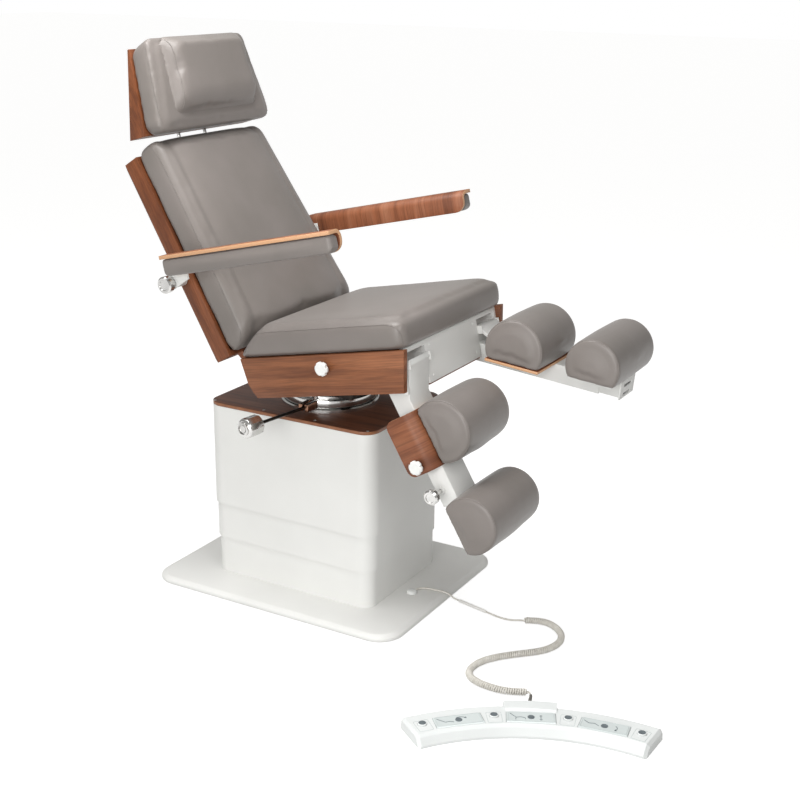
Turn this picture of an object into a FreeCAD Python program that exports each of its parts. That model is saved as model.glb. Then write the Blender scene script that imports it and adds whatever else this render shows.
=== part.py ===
import FreeCAD, Part
import math
import os
import Sketcher
from FreeCAD import Placement, Rotation, Vector

# Podiatry chair: a lifting column on a floor plate, a swivelling seat with back, head rest and
# arm rests, two swinging leg rests with sliding calf and foot cushions, and a foot control on a cord.
# +X is the way the sitter faces, +Y the sitter's left, +Z up, in millimetres.
# The origin is on the floor, on the swivel's axis.

DOC = FreeCAD.newDocument("PodiatryChair")
SHEET = DOC.addObject("Spreadsheet::Sheet", "Sizes")
PIECES = []


class Term:
    """A size of the sheet, or a sum of such sizes: its value and its expression."""

    def __init__(self, number, text):
        self.number = number
        self.text = text

    def __add__(self, other):
        other = as_term(other)
        return Term(self.number + other.number, f"({self.text} + {other.text})")

    def __sub__(self, other):
        other = as_term(other)
        return Term(self.number - other.number, f"({self.text} - {other.text})")

    def __mul__(self, other):
        other = as_term(other)
        return Term(self.number * other.number, f"({self.text} * {other.text})")

    def __truediv__(self, other):
        other = as_term(other)
        return Term(self.number / other.number, f"({self.text} / {other.text})")

    def __neg__(self):
        return Term(-self.number, f"(0 - {self.text})")

    def __float__(self):
        return float(self.number)

    __rmul__ = __mul__


def as_term(value):
    if isinstance(value, Term):
        return value
    return Term(value, f"({value})")


def cell(alias, value):
    """Writes one driving size into the sheet and returns its term."""
    row = len(SHEET.getUsedCells()) // 2 + 1
    SHEET.set(f"A{row}", alias)
    SHEET.set(f"B{row}", str(value))
    SHEET.setAlias(f"B{row}", alias)
    return Term(float(value), f"Sizes.{alias}")


def cosine(angle):
    return Term(math.cos(math.radians(angle.number)), f"cos({angle.text} * 1 deg)")


def sine(angle):
    return Term(math.sin(math.radians(angle.number)), f"sin({angle.text} * 1 deg)")


ZERO = Term(0.0, "0")

# Clearances and overruns
running_gap = cell("running_gap", 0.3)
overrun = cell("overrun", 5)

# Floor plate
base_long = cell("base_long", 797.7)
base_wide = cell("base_wide", 635.9)
base_centre = cell("base_centre", -15.1)
base_lip = cell("base_lip", 10)
base_thick = cell("base_thick", 18)
base_bevel = cell("base_bevel", 14)
base_corner = cell("base_corner", 34)
base_edge = base_centre + base_long / 2

# Telescoping column
tower_long = cell("tower_long", 536.6)
tower_wide = cell("tower_wide", 402.4)
tower_centre = cell("tower_centre", -12.6)
tower_corner = cell("tower_corner", 44)
tower_top = cell("tower_top", 534)
top_plate_thick = cell("top_plate_thick", 9.5)
shroud_step = cell("shroud_step", 4.4)
shroud_wall = cell("shroud_wall", 3.6)
upper_skirt = cell("upper_skirt", 232)
middle_skirt = cell("middle_skirt", 127)
middle_tall = cell("middle_tall", 285)
lower_tall = cell("lower_tall", 290)
tube_outer = cell("tube_outer", 180)
tube_step = cell("tube_step", 10)
tube_wall = cell("tube_wall", 9.7)
tube_tall = cell("tube_tall", 280)
mid_tube_foot = cell("mid_tube_foot", 130)
inner_tube_foot = cell("inner_tube_foot", 235)

# Swivel
flange_radius = cell("flange_radius", 138)
flange_thick = cell("flange_thick", 11)
flange_bevel = cell("flange_bevel", 3)
drum_radius = cell("drum_radius", 118)
drum_top = cell("drum_top", 578)
clamp_low = cell("clamp_low", 547)
clamp_tall = cell("clamp_tall", 20)
clamp_thick = cell("clamp_thick", 13)
clamp_slot = cell("clamp_slot", 8)
lug_reach = cell("lug_reach", 172)
lug_half = cell("lug_half", 15)
lug_across = cell("lug_across", 24)
lever_radius = cell("lever_radius", 4.5)
lever_angle = cell("lever_angle", 9)
lever_knob_start = cell("lever_knob_start", 350)
lever_knob_long = cell("lever_knob_long", 50)
lever_knob_radius = cell("lever_knob_radius", 27)
lever_knob_bevel = cell("lever_knob_bevel", 5)
cradle_long = cell("cradle_long", 150)
cradle_thick = cell("cradle_thick", 8)
cradle_wide = cell("cradle_wide", 200)
cradle_cheek = cell("cradle_cheek", 8)
cradle_top = cell("cradle_top", 661)
tilt_axis_x = cell("tilt_axis_x", 75)
tilt_axis_z = cell("tilt_axis_z", 645)
tilt_pin_radius = cell("tilt_pin_radius", 8)

# Seat, in a frame turned nose up about the row's Y axis
seat_level = cell("seat_level", 721.9)
seat_tilt = cell("seat_tilt", 11.28)
seat_half = cell("seat_half", 280)
panel_thick = cell("panel_thick", 18)
pan_rear = cell("pan_rear", -104)
pan_rear_mid = cell("pan_rear_mid", -93)
pan_rear_low = cell("pan_rear_low", -73)
pan_mid_depth = cell("pan_mid_depth", 68)
pan_front = cell("pan_front", 403)
pan_front_low = cell("pan_front_low", 383)
pan_depth = cell("pan_depth", 109)
pan_crease = cell("pan_crease", 90)
pan_crease_run = cell("pan_crease_run", 5)
front_panel_face = cell("front_panel_face", 384)
front_panel_thick = cell("front_panel_thick", 12)
front_panel_depth = cell("front_panel_depth", 117)
front_panel_top = cell("front_panel_top", 2)
leg_from_side = cell("leg_from_side", 82)
leg_centre = seat_half - leg_from_side
yoke_notch_half = cell("yoke_notch_half", 53)
yoke_notch_in = leg_centre - yoke_notch_half
yoke_notch_out = leg_centre + yoke_notch_half
yoke_notch_top = cell("yoke_notch_top", 15)
frame_plate_thick = cell("frame_plate_thick", 3)
frame_plate_rear = cell("frame_plate_rear", -60)
frame_plate_front = cell("frame_plate_front", 295)
rail_wide = cell("rail_wide", 8)
rail_deep = cell("rail_deep", 52)
ear_thick = cell("ear_thick", 2.4)
ear_rear = cell("ear_rear", 250)
ear_radius = cell("ear_radius", 11)
tilt_ear_half = cell("tilt_ear_half", 32)
cushion_front = cell("cushion_front", 408)
cushion_rear = cell("cushion_rear", -128)
cushion_rear_top = cell("cushion_rear_top", -56)
cushion_seam = cell("cushion_seam", 62)
cushion_thick = cell("cushion_thick", 77)
cushion_corner = cell("cushion_corner", 26)
cushion_drawn = cell("cushion_drawn", 4)
cushion_edge = cell("cushion_edge", 18)
seat_knob_x = cell("seat_knob_x", 160)
seat_knob_depth = cell("seat_knob_depth", 33)
star_radius = cell("star_radius", 19)
star_thick = cell("star_thick", 12)
star_neck = cell("star_neck", 8)
star_neck_radius = cell("star_neck_radius", 10)
star_groove = cell("star_groove", 4.5)

# Back, from its own lower end upwards
back_x = cell("back_x", -194.5)
back_depth = cell("back_depth", 11.4)
back_lean = cell("back_lean", 21.42)
back_long = cell("back_long", 590)
back_narrower = cell("back_narrower", 3)
back_half = seat_half - back_narrower
back_taper = cell("back_taper", 35)
back_thick = cell("back_thick", 59)
back_wall = cell("back_wall", 9)
back_edge = cell("back_edge", 12)
recline_x = cell("recline_x", -140)
recline_depth = cell("recline_depth", 10)
hinge_radius = cell("hinge_radius", 9)
hinge_pin_radius = cell("hinge_pin_radius", 5)
hinge_from_side = cell("hinge_from_side", 75)
hinge_place = seat_half - hinge_from_side
hinge_thick = cell("hinge_thick", 10)
hinge_ear = cell("hinge_ear", 8)
hinge_deep = cell("hinge_deep", 58)
back_cushion_top = cell("back_cushion_top", 605)
back_cushion_seam = cell("back_cushion_seam", 114)
back_cushion_face = cell("back_cushion_face", 154)
back_cushion_edge = cell("back_cushion_edge", 40)
back_cushion_slant = cell("back_cushion_slant", 28)
guide_low = cell("guide_low", 512)
guide_tall = cell("guide_tall", 20)
guide_half = cell("guide_half", 90)

# Head rest, in a frame tipped forward from the back
head_tip = cell("head_tip", 16.3)
rod_spread = cell("rod_spread", 58)
rod_radius = cell("rod_radius", 5)
rod_low = cell("rod_low", 400)
rod_high = cell("rod_high", 646)
rod_drop = cell("rod_drop", 99)
head_low = cell("head_low", 627)
head_top = cell("head_top", 858)
head_half_low = cell("head_half_low", 250)
head_half_top = cell("head_half_top", 213)
wedge_back_low = cell("wedge_back_low", 107)
wedge_back_top = cell("wedge_back_top", 66)
wedge_front_low = cell("wedge_front_low", 54)
wedge_front_top = cell("wedge_front_top", 61.5)
head_cushion_rise = cell("head_cushion_rise", 18)
head_cushion_seam = cell("head_cushion_seam", 3)
head_cushion_lap = cell("head_cushion_lap", 5)
head_cushion_side = cell("head_cushion_side", 2)
head_cushion_face = cell("head_cushion_face", 8)
head_cushion_edge = cell("head_cushion_edge", 18)
pillow_low = cell("pillow_low", 655)
pillow_half = cell("pillow_half", 168)
pillow_thick = cell("pillow_thick", 17)
pillow_slope = cell("pillow_slope", 52)
pillow_edge = cell("pillow_edge", 28)
pillow_taper = cell("pillow_taper", 8)
pillow_corner = cell("pillow_corner", 20)

# Arm rests, in a frame along their top
arm_x = cell("arm_x", -211)
arm_rise = cell("arm_rise", 304)
arm_slope = cell("arm_slope", 1.86)
arm_room = cell("arm_room", 38)
arm_wide = cell("arm_wide", 52)
arm_inner = seat_half + arm_room
arm_outer = arm_inner + arm_wide
arm_rear = cell("arm_rear", -23)
arm_front = cell("arm_front", 516)
arm_ply = cell("arm_ply", 10)
arm_tall = cell("arm_tall", 58)
arm_bend = cell("arm_bend", 22)
arm_pad_front = cell("arm_pad_front", 538)
arm_pad_tall = cell("arm_pad_tall", 47)
arm_pad_edge = cell("arm_pad_edge", 9)
arm_pad_corner = cell("arm_pad_corner", 12)
arm_pivot_x = cell("arm_pivot_x", -50)
arm_pivot_drop = cell("arm_pivot_drop", 80)
bracket_thick = cell("bracket_thick", 5.7)
bracket_reach = cell("bracket_reach", 70)
boss_radius = cell("boss_radius", 15)
arm_pin_radius = cell("arm_pin_radius", 5)
clamp_knob_radius = cell("clamp_knob_radius", 23)
clamp_knob_long = cell("clamp_knob_long", 27)
clamp_knob_face = cell("clamp_knob_face", 15)
clamp_knob_bevel = cell("clamp_knob_bevel", 4)

# Leg rests, in frames along their tubes, whose origin is the hinge pin
leg_pin_x = cell("leg_pin_x", 387)
leg_pin_depth = cell("leg_pin_depth", 43.4)
leg_pin_radius = cell("leg_pin_radius", 5)
leg_barrel_radius = cell("leg_barrel_radius", 9)
right_leg_angle = cell("right_leg_angle", 59.1)
left_leg_angle = cell("left_leg_angle", 5.74)
leg_tube_wide = cell("leg_tube_wide", 100)
leg_tube_deep = cell("leg_tube_deep", 50)
leg_tube_below = cell("leg_tube_below", 38)
leg_tube_end = cell("leg_tube_end", 364)
leg_tube_wall = cell("leg_tube_wall", 3)
leg_web_end = cell("leg_web_end", 79)
leg_web_thick = cell("leg_web_thick", 4)
leg_flange_thick = cell("leg_flange_thick", 5)
leg_knob_place = cell("leg_knob_place", 322)
leg_knob_depth = cell("leg_knob_depth", 70)
leg_knob_out = leg_centre + cell("leg_knob_reach", 92)
leg_knob_radius = cell("leg_knob_radius", 20)
leg_boss_long = cell("leg_boss_long", 9)
leg_boss_radius = cell("leg_boss_radius", 10)
calf_right_start = cell("calf_right_start", 111)
calf_left_start = cell("calf_left_start", 83)
calf_chord = cell("calf_chord", 149)
calf_radius = cell("calf_radius", 83.5)
calf_seat = cell("calf_seat", 30.4)
calf_inner = cell("calf_inner", 29)
calf_outer = leg_centre + cell("calf_reach", 62)
calf_shell_thick = cell("calf_shell_thick", 7.2)
calf_shell_out = leg_centre + cell("calf_shell_reach", 85)
calf_shell_drop = cell("calf_shell_drop", 118)
calf_shell_long = cell("calf_shell_long", 152)
calf_shell_bend = cell("calf_shell_bend", 32)
calf_knob_along = cell("calf_knob_along", 129)
calf_knob_depth = cell("calf_knob_depth", 79)
calf_screw_radius = cell("calf_screw_radius", 4)
foot_right_start = cell("foot_right_start", 358)
foot_left_start = cell("foot_left_start", 301)
foot_chord = cell("foot_chord", 126.4)
foot_radius = cell("foot_radius", 76)
foot_seat = cell("foot_seat", 37.4)
foot_inner = cell("foot_inner", 66)
foot_outer = leg_centre + cell("foot_reach", 130)
foot_tube_back = cell("foot_tube_back", 171)
foot_plate_along = cell("foot_plate_along", 66)
foot_end_along = cell("foot_end_along", 119)
foot_end_thick = cell("foot_end_thick", 4)
foot_end_drop = cell("foot_end_drop", 90)
foot_slot_high = cell("foot_slot_high", 8)
foot_slot_half = cell("foot_slot_half", 26)
roll_crown = cell("roll_crown", 2)
roll_edge = cell("roll_edge", 7)

# Foot control: an arc of housing with buttons and rockers
pedal_middle = cell("pedal_middle_angle", 116.2)
pedal_span = cell("pedal_span_angle", 57.2)
pedal_inner = cell("pedal_inner", 536)
pedal_wide = cell("pedal_wide", 106)
pedal_outer = pedal_inner + pedal_wide
pedal_top_inner = pedal_inner + cell("pedal_inner_slope", 17)
pedal_top_outer = pedal_outer - cell("pedal_outer_slope", 15)
pedal_tall = cell("pedal_tall", 30)
pedal_shoulder = cell("pedal_shoulder", 23)
pedal_foot = cell("pedal_foot", 6)
pedal_bevel = cell("pedal_bevel", 7)
pedal_lug_span = cell("pedal_lug_angle", 11.4)
pedal_lug_out = pedal_outer + cell("pedal_lug_reach", 11)
pedal_lug_top = cell("pedal_lug_top", 35)
pedal_lug_in = pedal_outer - cell("pedal_lug_lap", 36)
pedal_socket_out = pedal_outer + cell("pedal_socket_reach", 26)
pedal_socket_radius = cell("pedal_socket_radius", 9)
pedal_socket_rise = cell("pedal_socket_rise", 11.6)
control_step = cell("control_step_angle", 16.95)
button_ring = pedal_inner + cell("button_place", 52)
button_radius = cell("button_radius", 11)
button_top = cell("button_top", 33.5)
control_floor = cell("control_floor", 19)
button_low = cell("button_low", 23)
button_bevel = cell("button_bevel", 2)
rocker_ring = pedal_inner + cell("rocker_place", 42)
rocker_long = cell("rocker_long", 116)
rocker_wide = cell("rocker_wide", 44)
rocker_low = cell("rocker_low", 23)
rocker_top = cell("rocker_top", 32)
rocker_bevel = cell("rocker_bevel", 2)
rocker_axis = cell("rocker_axis", 27)
rocker_pin_radius = cell("rocker_pin_radius", 1.5)
control_gap = cell("control_gap", 0.8)
socket_ahead = cell("socket_ahead", 442.04)
socket_y = cell("socket_y", -403.62)

# Cord
gland_out = cell("gland_out", 37.3)
gland_x = tower_centre + tower_long / 2 + gland_out
gland_y = cell("gland_y", -37)
gland_radius = cell("gland_radius", 15)
gland_tall = cell("gland_tall", 8)
cable_across = cell("cable_across", 5.5)
coupler_across = cell("coupler_across", 9)
coil_across = cell("coil_across", 20)
relief_across = cell("relief_across", 10)

DOC.recompute()

DRAWN_GLAND = 293
DRAWN_EDGE = 383.75
LEAD_POINTS = [(296.2, -26.9, 21.2), (301, -10, 21.6), (317, 2, 21.3), (345, 5, 21.2), (370, 7, 21.6), (389, 8.5, 17.4),
               (399, 10.4, 8.6), (411.3, 11.5, 5), (422, 9, 5)]
COUPLER_POINTS = [(422, 9, 5), (511, -12, 5)]
TAIL_POINTS = [(511, -12, 5), (526.6, -15.7, 5), (548, -19.5, 3.6),
               (576, -23, 3.8), (600, -24, 7), (617.9, -20.1, 10.2), (630, -13, 10.2)]
COIL_POINTS = [(630, -13, 10.2), (664, 7, 10.2), (706, 4, 10.2), (746, -28, 10.2), (763, -70, 10.2), (758, -112, 10.2),
               (738, -149, 10.2), (698, -187, 10.2), (660, -226, 10.2), (632, -268, 10.2), (622, -312, 10.2),
               (630, -346, 10.2), (652, -366, 10.2), (690, -377, 10.2), (736, -377, 10.2), (765, -367, 10.2),
               (785, -356.5, 10.2)]
RELIEF_POINTS = [(785, -356.5, 10.2), (798.99, -349.16, 10.2), (811, -362, 11), (818.7, -389.2, 11.6),
                 (825.8, -403.6, 11.6)]


def bind(item, name, term):
    item.setExpression(name, as_term(term).text)


def lean(item, x, z, turn, nose_up=True):
    """Turns an object about the Y axis and puts its origin at x, z."""
    side = -1 if nose_up else 1
    item.Placement = Placement(Vector(0, 0, 0), Rotation(Vector(0, side, 0), turn.number))
    bind(item, "Placement.Base.x", x)
    bind(item, "Placement.Base.z", z)
    bind(item, "Placement.Rotation.Angle", turn)


def seat_point(x, z):
    """A point of the seat's frame, as x and z of the row."""
    across = x * cosine(seat_tilt) - z * sine(seat_tilt)
    up = seat_level + x * sine(seat_tilt) + z * cosine(seat_tilt)
    return across, up


def lean_seat(item):
    lean(item, ZERO, seat_level, seat_tilt)


def lean_back(item):
    x, z = seat_point(back_x, -back_depth)
    lean(item, x, z, back_lean + seat_tilt)


def lean_head(item):
    x, z = seat_point(back_x, -back_depth)
    lean(item, x, z, back_lean + seat_tilt - head_tip)


def lean_arm(item):
    x, z = seat_point(arm_x, arm_rise)
    lean(item, x, z, arm_slope + seat_tilt)


def lean_leg(item, drop):
    x, z = seat_point(leg_pin_x, -leg_pin_depth)
    lean(item, x, z, drop, nose_up=False)


def stand(item):
    """Leaves an object upright in the row's frame."""
    item.Placement = Placement()


def piece(item, label):
    item.Label = label
    PIECES.append(item)
    return item


def new_body(label):
    return piece(DOC.addObject("PartDesign::Body", label), label)


def sketch_on(body, role, level):
    """An empty sketch on one of the body's own planes, moved along the plane's normal."""
    sketch = body.newObject("Sketcher::SketchObject", f"{body.Name}Sketch")
    plane = [item for item in body.Origin.OriginFeatures if item.Role == role][0]
    sketch.AttachmentSupport = (plane, [""])
    sketch.MapMode = "FlatFace"
    bind(sketch, "AttachmentOffset.Base.z", level)
    return sketch


def fix_point(sketch, curve, end, x, y):
    """Holds one point of a sketch at x, y from its origin."""
    for kind, value in (("DistanceX", as_term(x)), ("DistanceY", as_term(y))):
        index = sketch.addConstraint(Sketcher.Constraint(kind, -1, 1, curve, end, value.number))
        sketch.setExpression(f"Constraints[{index}]", value.text)


def add_polygon(sketch, corners):
    spots = [Vector(float(x), float(y), 0) for x, y in corners]
    first = sketch.GeometryCount
    count = len(spots)
    for index in range(count):
        sketch.addGeometry(Part.LineSegment(spots[index], spots[(index + 1) % count]), False)
    for index in range(count):
        following = first + (index + 1) % count
        sketch.addConstraint(Sketcher.Constraint("Coincident", first + index, 2, following, 1))
    for index, (x, y) in enumerate(corners):
        fix_point(sketch, first + index, 1, x, y)


def add_circle(sketch, x, y, radius):
    middle = Vector(float(x), float(y), 0)
    curve = sketch.addGeometry(Part.Circle(middle, Vector(0, 0, 1), float(radius)), False)
    index = sketch.addConstraint(Sketcher.Constraint("Radius", curve, float(radius)))
    sketch.setExpression(f"Constraints[{index}]", as_term(radius).text)
    fix_point(sketch, curve, 3, x, y)


def draw(body, role, level, polygons=(), circles=()):
    sketch = sketch_on(body, role, level)
    for corners in polygons:
        add_polygon(sketch, corners)
    for x, y, radius in circles:
        add_circle(sketch, x, y, radius)
    return sketch


def run(body, role, low, high, polygons=(), circles=(), cut=False):
    """Pads or pockets an outline from one level to another along the plane's normal.

    The XZ plane's normal points along -Y, so its levels are given as y and swapped here.
    """
    low, high = as_term(low), as_term(high)
    start = -high if role == "XZ_Plane" else low
    sketch = draw(body, role, start, polygons, circles)
    before = body.Shape.Volume if cut else 0
    feature = body.newObject("PartDesign::Pocket" if cut else "PartDesign::Pad", f"{body.Name}Run")
    feature.Profile = sketch
    bind(feature, "Length", high - low)
    if cut:
        feature.Reversed = True
    DOC.recompute()
    if cut and body.Shape.Volume >= before:
        raise ValueError(f"{body.Name}: the pocket at {start.number} cuts nothing")
    return feature


def turn(body, profile, role="XY_Plane", axis="V_Axis", cut=False):
    """A full turn of a half profile about an axis of its sketch."""
    sketch = draw(body, role, ZERO, [profile])
    kind = "PartDesign::Groove" if cut else "PartDesign::Revolution"
    feature = body.newObject(kind, f"{body.Name}Turn")
    feature.Profile = sketch
    feature.ReferenceAxis = (sketch, [axis])
    feature.Angle = 360
    DOC.recompute()
    return feature


def edges_where(feature, test):
    names = []
    for index, edge in enumerate(feature.Shape.Edges):
        if test(edge):
            names.append(f"Edge{index + 1}")
    return names


def soften(body, feature, size, test, kind="PartDesign::Fillet"):
    """Rounds or bevels the edges of a feature that pass a test."""
    names = edges_where(feature, test)
    if not names:
        raise ValueError(f"{body.Name}: no edge to soften")
    result = body.newObject(kind, f"{body.Name}Edge")
    result.Base = (feature, names)
    bind(result, "Radius" if kind == "PartDesign::Fillet" else "Size", size)
    DOC.recompute()
    return result


def along(edge, axis):
    """True where a straight edge runs along X, Y or Z of its body (0, 1 or 2)."""
    if edge.Curve.TypeId != "Part::GeomLine":
        return False
    return abs(abs(edge.Curve.Direction[axis]) - 1) < 1e-6


def middle(edge):
    return edge.CenterOfMass


def bar(x0, x1, y0, y1):
    """The corners of a rectangle."""
    return [(x0, y0), (x1, y0), (x1, y1), (x0, y1)]


def rounded_wire(corners, radius):
    """A closed wire through corners, each rounded by an arc."""
    spots = [Vector(*corner) for corner in corners]
    count = len(spots)
    parts = []
    for index, spot in enumerate(spots):
        before = (spots[index - 1] - spot).normalize()
        after = (spots[(index + 1) % count] - spot).normalize()
        half = before.getAngle(after) / 2
        reach = radius / math.tan(half)
        bisector = (before + after).normalize()
        crown = spot + bisector * (radius / math.sin(half) - radius)
        parts.append((spot + before * reach, crown, spot + after * reach))
    edges = []
    for index, (start, crown, end) in enumerate(parts):
        edges.append(Part.Arc(start, crown, end).toShape())
        edges.append(Part.LineSegment(end, parts[(index + 1) % count][0]).toShape())
    return Part.Wire(Part.__sortEdges__(edges))


def soft_piece(label, wires):
    """A cushion: a ruled loft through rounded outlines."""
    item = DOC.addObject("Part::Feature", label)
    item.Shape = Part.makeLoft(wires, True, True)
    return piece(item, label)


def corner_route(points):
    """Straight runs joined by tangent arcs, with the arcs' radii."""
    spots = [Vector(*point) for point in points]
    edges = []
    radii = []
    start = spots[0]
    for index in range(1, len(spots) - 1):
        before = spots[index - 1] - spots[index]
        after = spots[index + 1] - spots[index]
        reach = 0.45 * min(before.Length, after.Length)
        half_turn = (math.pi - before.getAngle(after)) / 2
        radius = reach / math.tan(half_turn)
        before.normalize()
        after.normalize()
        entry = spots[index] + before * reach
        leave = spots[index] + after * reach
        bisector = (before + after).normalize()
        crown = spots[index] + bisector * (radius / math.cos(half_turn) - radius)
        edges.append(Part.LineSegment(start, entry).toShape())
        edges.append(Part.Arc(entry, crown, leave).toShape())
        radii.append(radius)
        start = leave
    edges.append(Part.LineSegment(start, spots[-1]).toShape())
    return Part.Wire(edges), radii


def cord_piece(label, points, across):
    """A round tube along a route; its radii and volume are printed."""
    path, radii = corner_route(points)
    heading = Vector(*points[1]) - Vector(*points[0])
    section = Part.Wire(Part.makeCircle(across.number / 2, Vector(*points[0]), heading))
    item = DOC.addObject("Part::Feature", label)
    item.Shape = path.makePipeShell([section], True, False)
    expected = math.pi * (across.number / 2) ** 2 * path.Length
    smallest = round(min(radii), 1) if radii else "none"
    share = round(item.Shape.Volume / expected, 4)
    print(label, "length", round(path.Length, 1), "least radius", smallest, "volume share", share)
    return piece(item, label)


def base_plate():
    body = new_body("base_plate")
    half = base_wide / 2
    plate = run(body, "XY_Plane", ZERO, base_thick, [bar(base_centre - base_long / 2, base_edge, -half, half)])
    rounded = soften(body, plate, base_corner, lambda edge: along(edge, 2))
    bevel = soften(body, rounded, base_thick - base_lip,
                   lambda edge: abs(middle(edge).z - base_thick.number) < 1e-3, "PartDesign::Chamfer")
    bevel.ChamferType = 1
    bind(bevel, "Size2", base_bevel)
    DOC.recompute()
    top = max(body.Shape.Faces, key=lambda face: face.CenterOfMass.z)
    if abs(top.BoundBox.YLength - base_wide.number + 2 * base_bevel.number) > 1e-3:
        bevel.FlipDirection = True
    stand(body)


def shroud(label, inset, low, high, lid=None):
    """One box of the telescoping column's cover, open at both ends."""
    body = new_body(label)
    wall = shroud_wall
    outer = tower_long / 2 - inset
    side = tower_wide / 2 - inset
    ring = [bar(tower_centre - outer, tower_centre + outer, -side, side),
            bar(tower_centre - outer + wall, tower_centre + outer - wall, -side + wall, side - wall)]
    tube = run(body, "XY_Plane", low, high, ring)
    limit = side.number - wall.number / 2
    outside = soften(body, tube, tower_corner - inset,
                     lambda edge: along(edge, 2) and abs(middle(edge).y) > limit)
    soften(body, outside, tower_corner - inset - wall,
           lambda edge: along(edge, 2) and abs(abs(middle(edge).y) - side.number + wall.number) < 1e-3
           and abs(abs(middle(edge).x - tower_centre.number) - outer.number + wall.number) < 1e-3)
    stand(body)


def lower_shroud():
    shroud("lower_shroud", shroud_step * 2, base_thick, base_thick + lower_tall)


def mid_shroud():
    shroud("mid_shroud", shroud_step, middle_skirt, middle_skirt + middle_tall)


def upper_shroud():
    shroud("upper_shroud", ZERO, upper_skirt, tower_top - top_plate_thick)


def top_plate():
    body = new_body("top_plate")
    outline = bar(tower_centre - tower_long / 2, tower_centre + tower_long / 2, -tower_wide / 2, tower_wide / 2)
    pad = run(body, "XY_Plane", tower_top - top_plate_thick, tower_top, [outline])
    soften(body, pad, tower_corner, lambda edge: along(edge, 2))
    stand(body)


def lift_tube(label, step, low, high):
    """One square tube of the lifting column."""
    body = new_body(label)
    outer = tube_outer / 2 - step
    inner = outer - tube_wall
    run(body, "XY_Plane", low, high, [bar(-outer, outer, -outer, outer), bar(-inner, inner, -inner, inner)])
    stand(body)


def lift_tubes():
    lift_tube("lift_outer_tube", ZERO, base_thick, base_thick + tube_tall)
    lift_tube("lift_mid_tube", tube_step, mid_tube_foot, mid_tube_foot + tube_tall)
    lift_tube("lift_inner_tube", tube_step * 2, inner_tube_foot, tower_top - top_plate_thick)


def swivel_flange():
    body = new_body("swivel_flange")
    top = tower_top + flange_thick
    turn(body, [(ZERO, tower_top), (flange_radius, tower_top), (flange_radius, top - flange_bevel),
                (flange_radius - flange_bevel, top), (ZERO, top)], role="XZ_Plane")
    stand(body)


def turntable():
    body = new_body("turntable")
    low = tower_top + flange_thick + running_gap
    turn(body, [(ZERO, low), (drum_radius, low), (drum_radius, drum_top - flange_bevel),
                (drum_radius - flange_bevel, drum_top), (ZERO, drum_top)], role="XZ_Plane")
    stand(body)


def clamp_ring():
    """The split ring round the drum, with the lug that the lever passes through."""
    body = new_body("clamp_ring")
    ring = drum_radius + clamp_thick
    top = clamp_low + clamp_tall
    run(body, "XY_Plane", clamp_low, top, circles=[(ZERO, ZERO, ring), (ZERO, ZERO, drum_radius)])
    lug_top = clamp_low + clamp_tall
    start = drum_radius + clamp_thick / 2
    middle_x = lug_across
    run(body, "XY_Plane", clamp_low, lug_top,
        [bar(middle_x - lug_half, middle_x + lug_half, -lug_reach, -start)])
    run(body, "XY_Plane", clamp_low - overrun, top + overrun,
        [bar(middle_x - clamp_slot / 2, middle_x + clamp_slot / 2, -lug_reach - overrun, -drum_radius + overrun * 2)],
        cut=True)
    stand(body)


def clamp_lever():
    """The clamp's rod and its faceted knob, in a frame along the rod."""
    body = new_body("clamp_lever")
    start = (lug_reach + running_gap) / cosine(lever_angle) + lever_radius * sine(lever_angle)
    height = clamp_low + clamp_tall / 2
    run(body, "XZ_Plane", -lever_knob_start - overrun, -start, circles=[(ZERO, ZERO, lever_radius)])
    corners = []
    for index in range(10):
        angle = math.radians(36 * index)
        corners.append((lever_knob_radius * math.cos(angle), lever_knob_radius * math.sin(angle)))
    end = lever_knob_start + lever_knob_long
    knob = run(body, "XZ_Plane", -end, -lever_knob_start, [corners])
    soften(body, knob, lever_knob_bevel,
           lambda edge: abs(middle(edge).y + end.number) < 1e-3, "PartDesign::Chamfer")
    body.Placement = Placement(Vector(0, 0, 0), Rotation(Vector(0, 0, -1), lever_angle.number))
    bind(body, "Placement.Rotation.Angle", lever_angle)
    bind(body, "Placement.Base.z", height)
    bind(body, "Placement.Base.x", lug_across + lug_reach * sine(lever_angle) / cosine(lever_angle))


def tilt_cradle():
    """The saddle on the drum, with the two cheeks that hold the seat's tilt pin."""
    body = new_body("tilt_cradle")
    half = cradle_wide / 2
    rear = tilt_axis_x - cradle_long * 0.6
    front = tilt_axis_x + cradle_long * 0.4
    floor = drum_top + cradle_thick
    run(body, "XY_Plane", drum_top, floor, [bar(rear, front, -half, half)])
    cheek = [(rear, drum_top), (front, drum_top), (front, cradle_top), (front - cradle_long * 0.4, cradle_top),
             (rear, floor)]
    for low in (-half, half - cradle_cheek):
        run(body, "XZ_Plane", low, low + cradle_cheek, [cheek])
    hole = tilt_pin_radius + running_gap
    run(body, "XZ_Plane", -half - overrun, half + overrun, circles=[(tilt_axis_x, tilt_axis_z, hole)], cut=True)
    stand(body)


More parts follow.
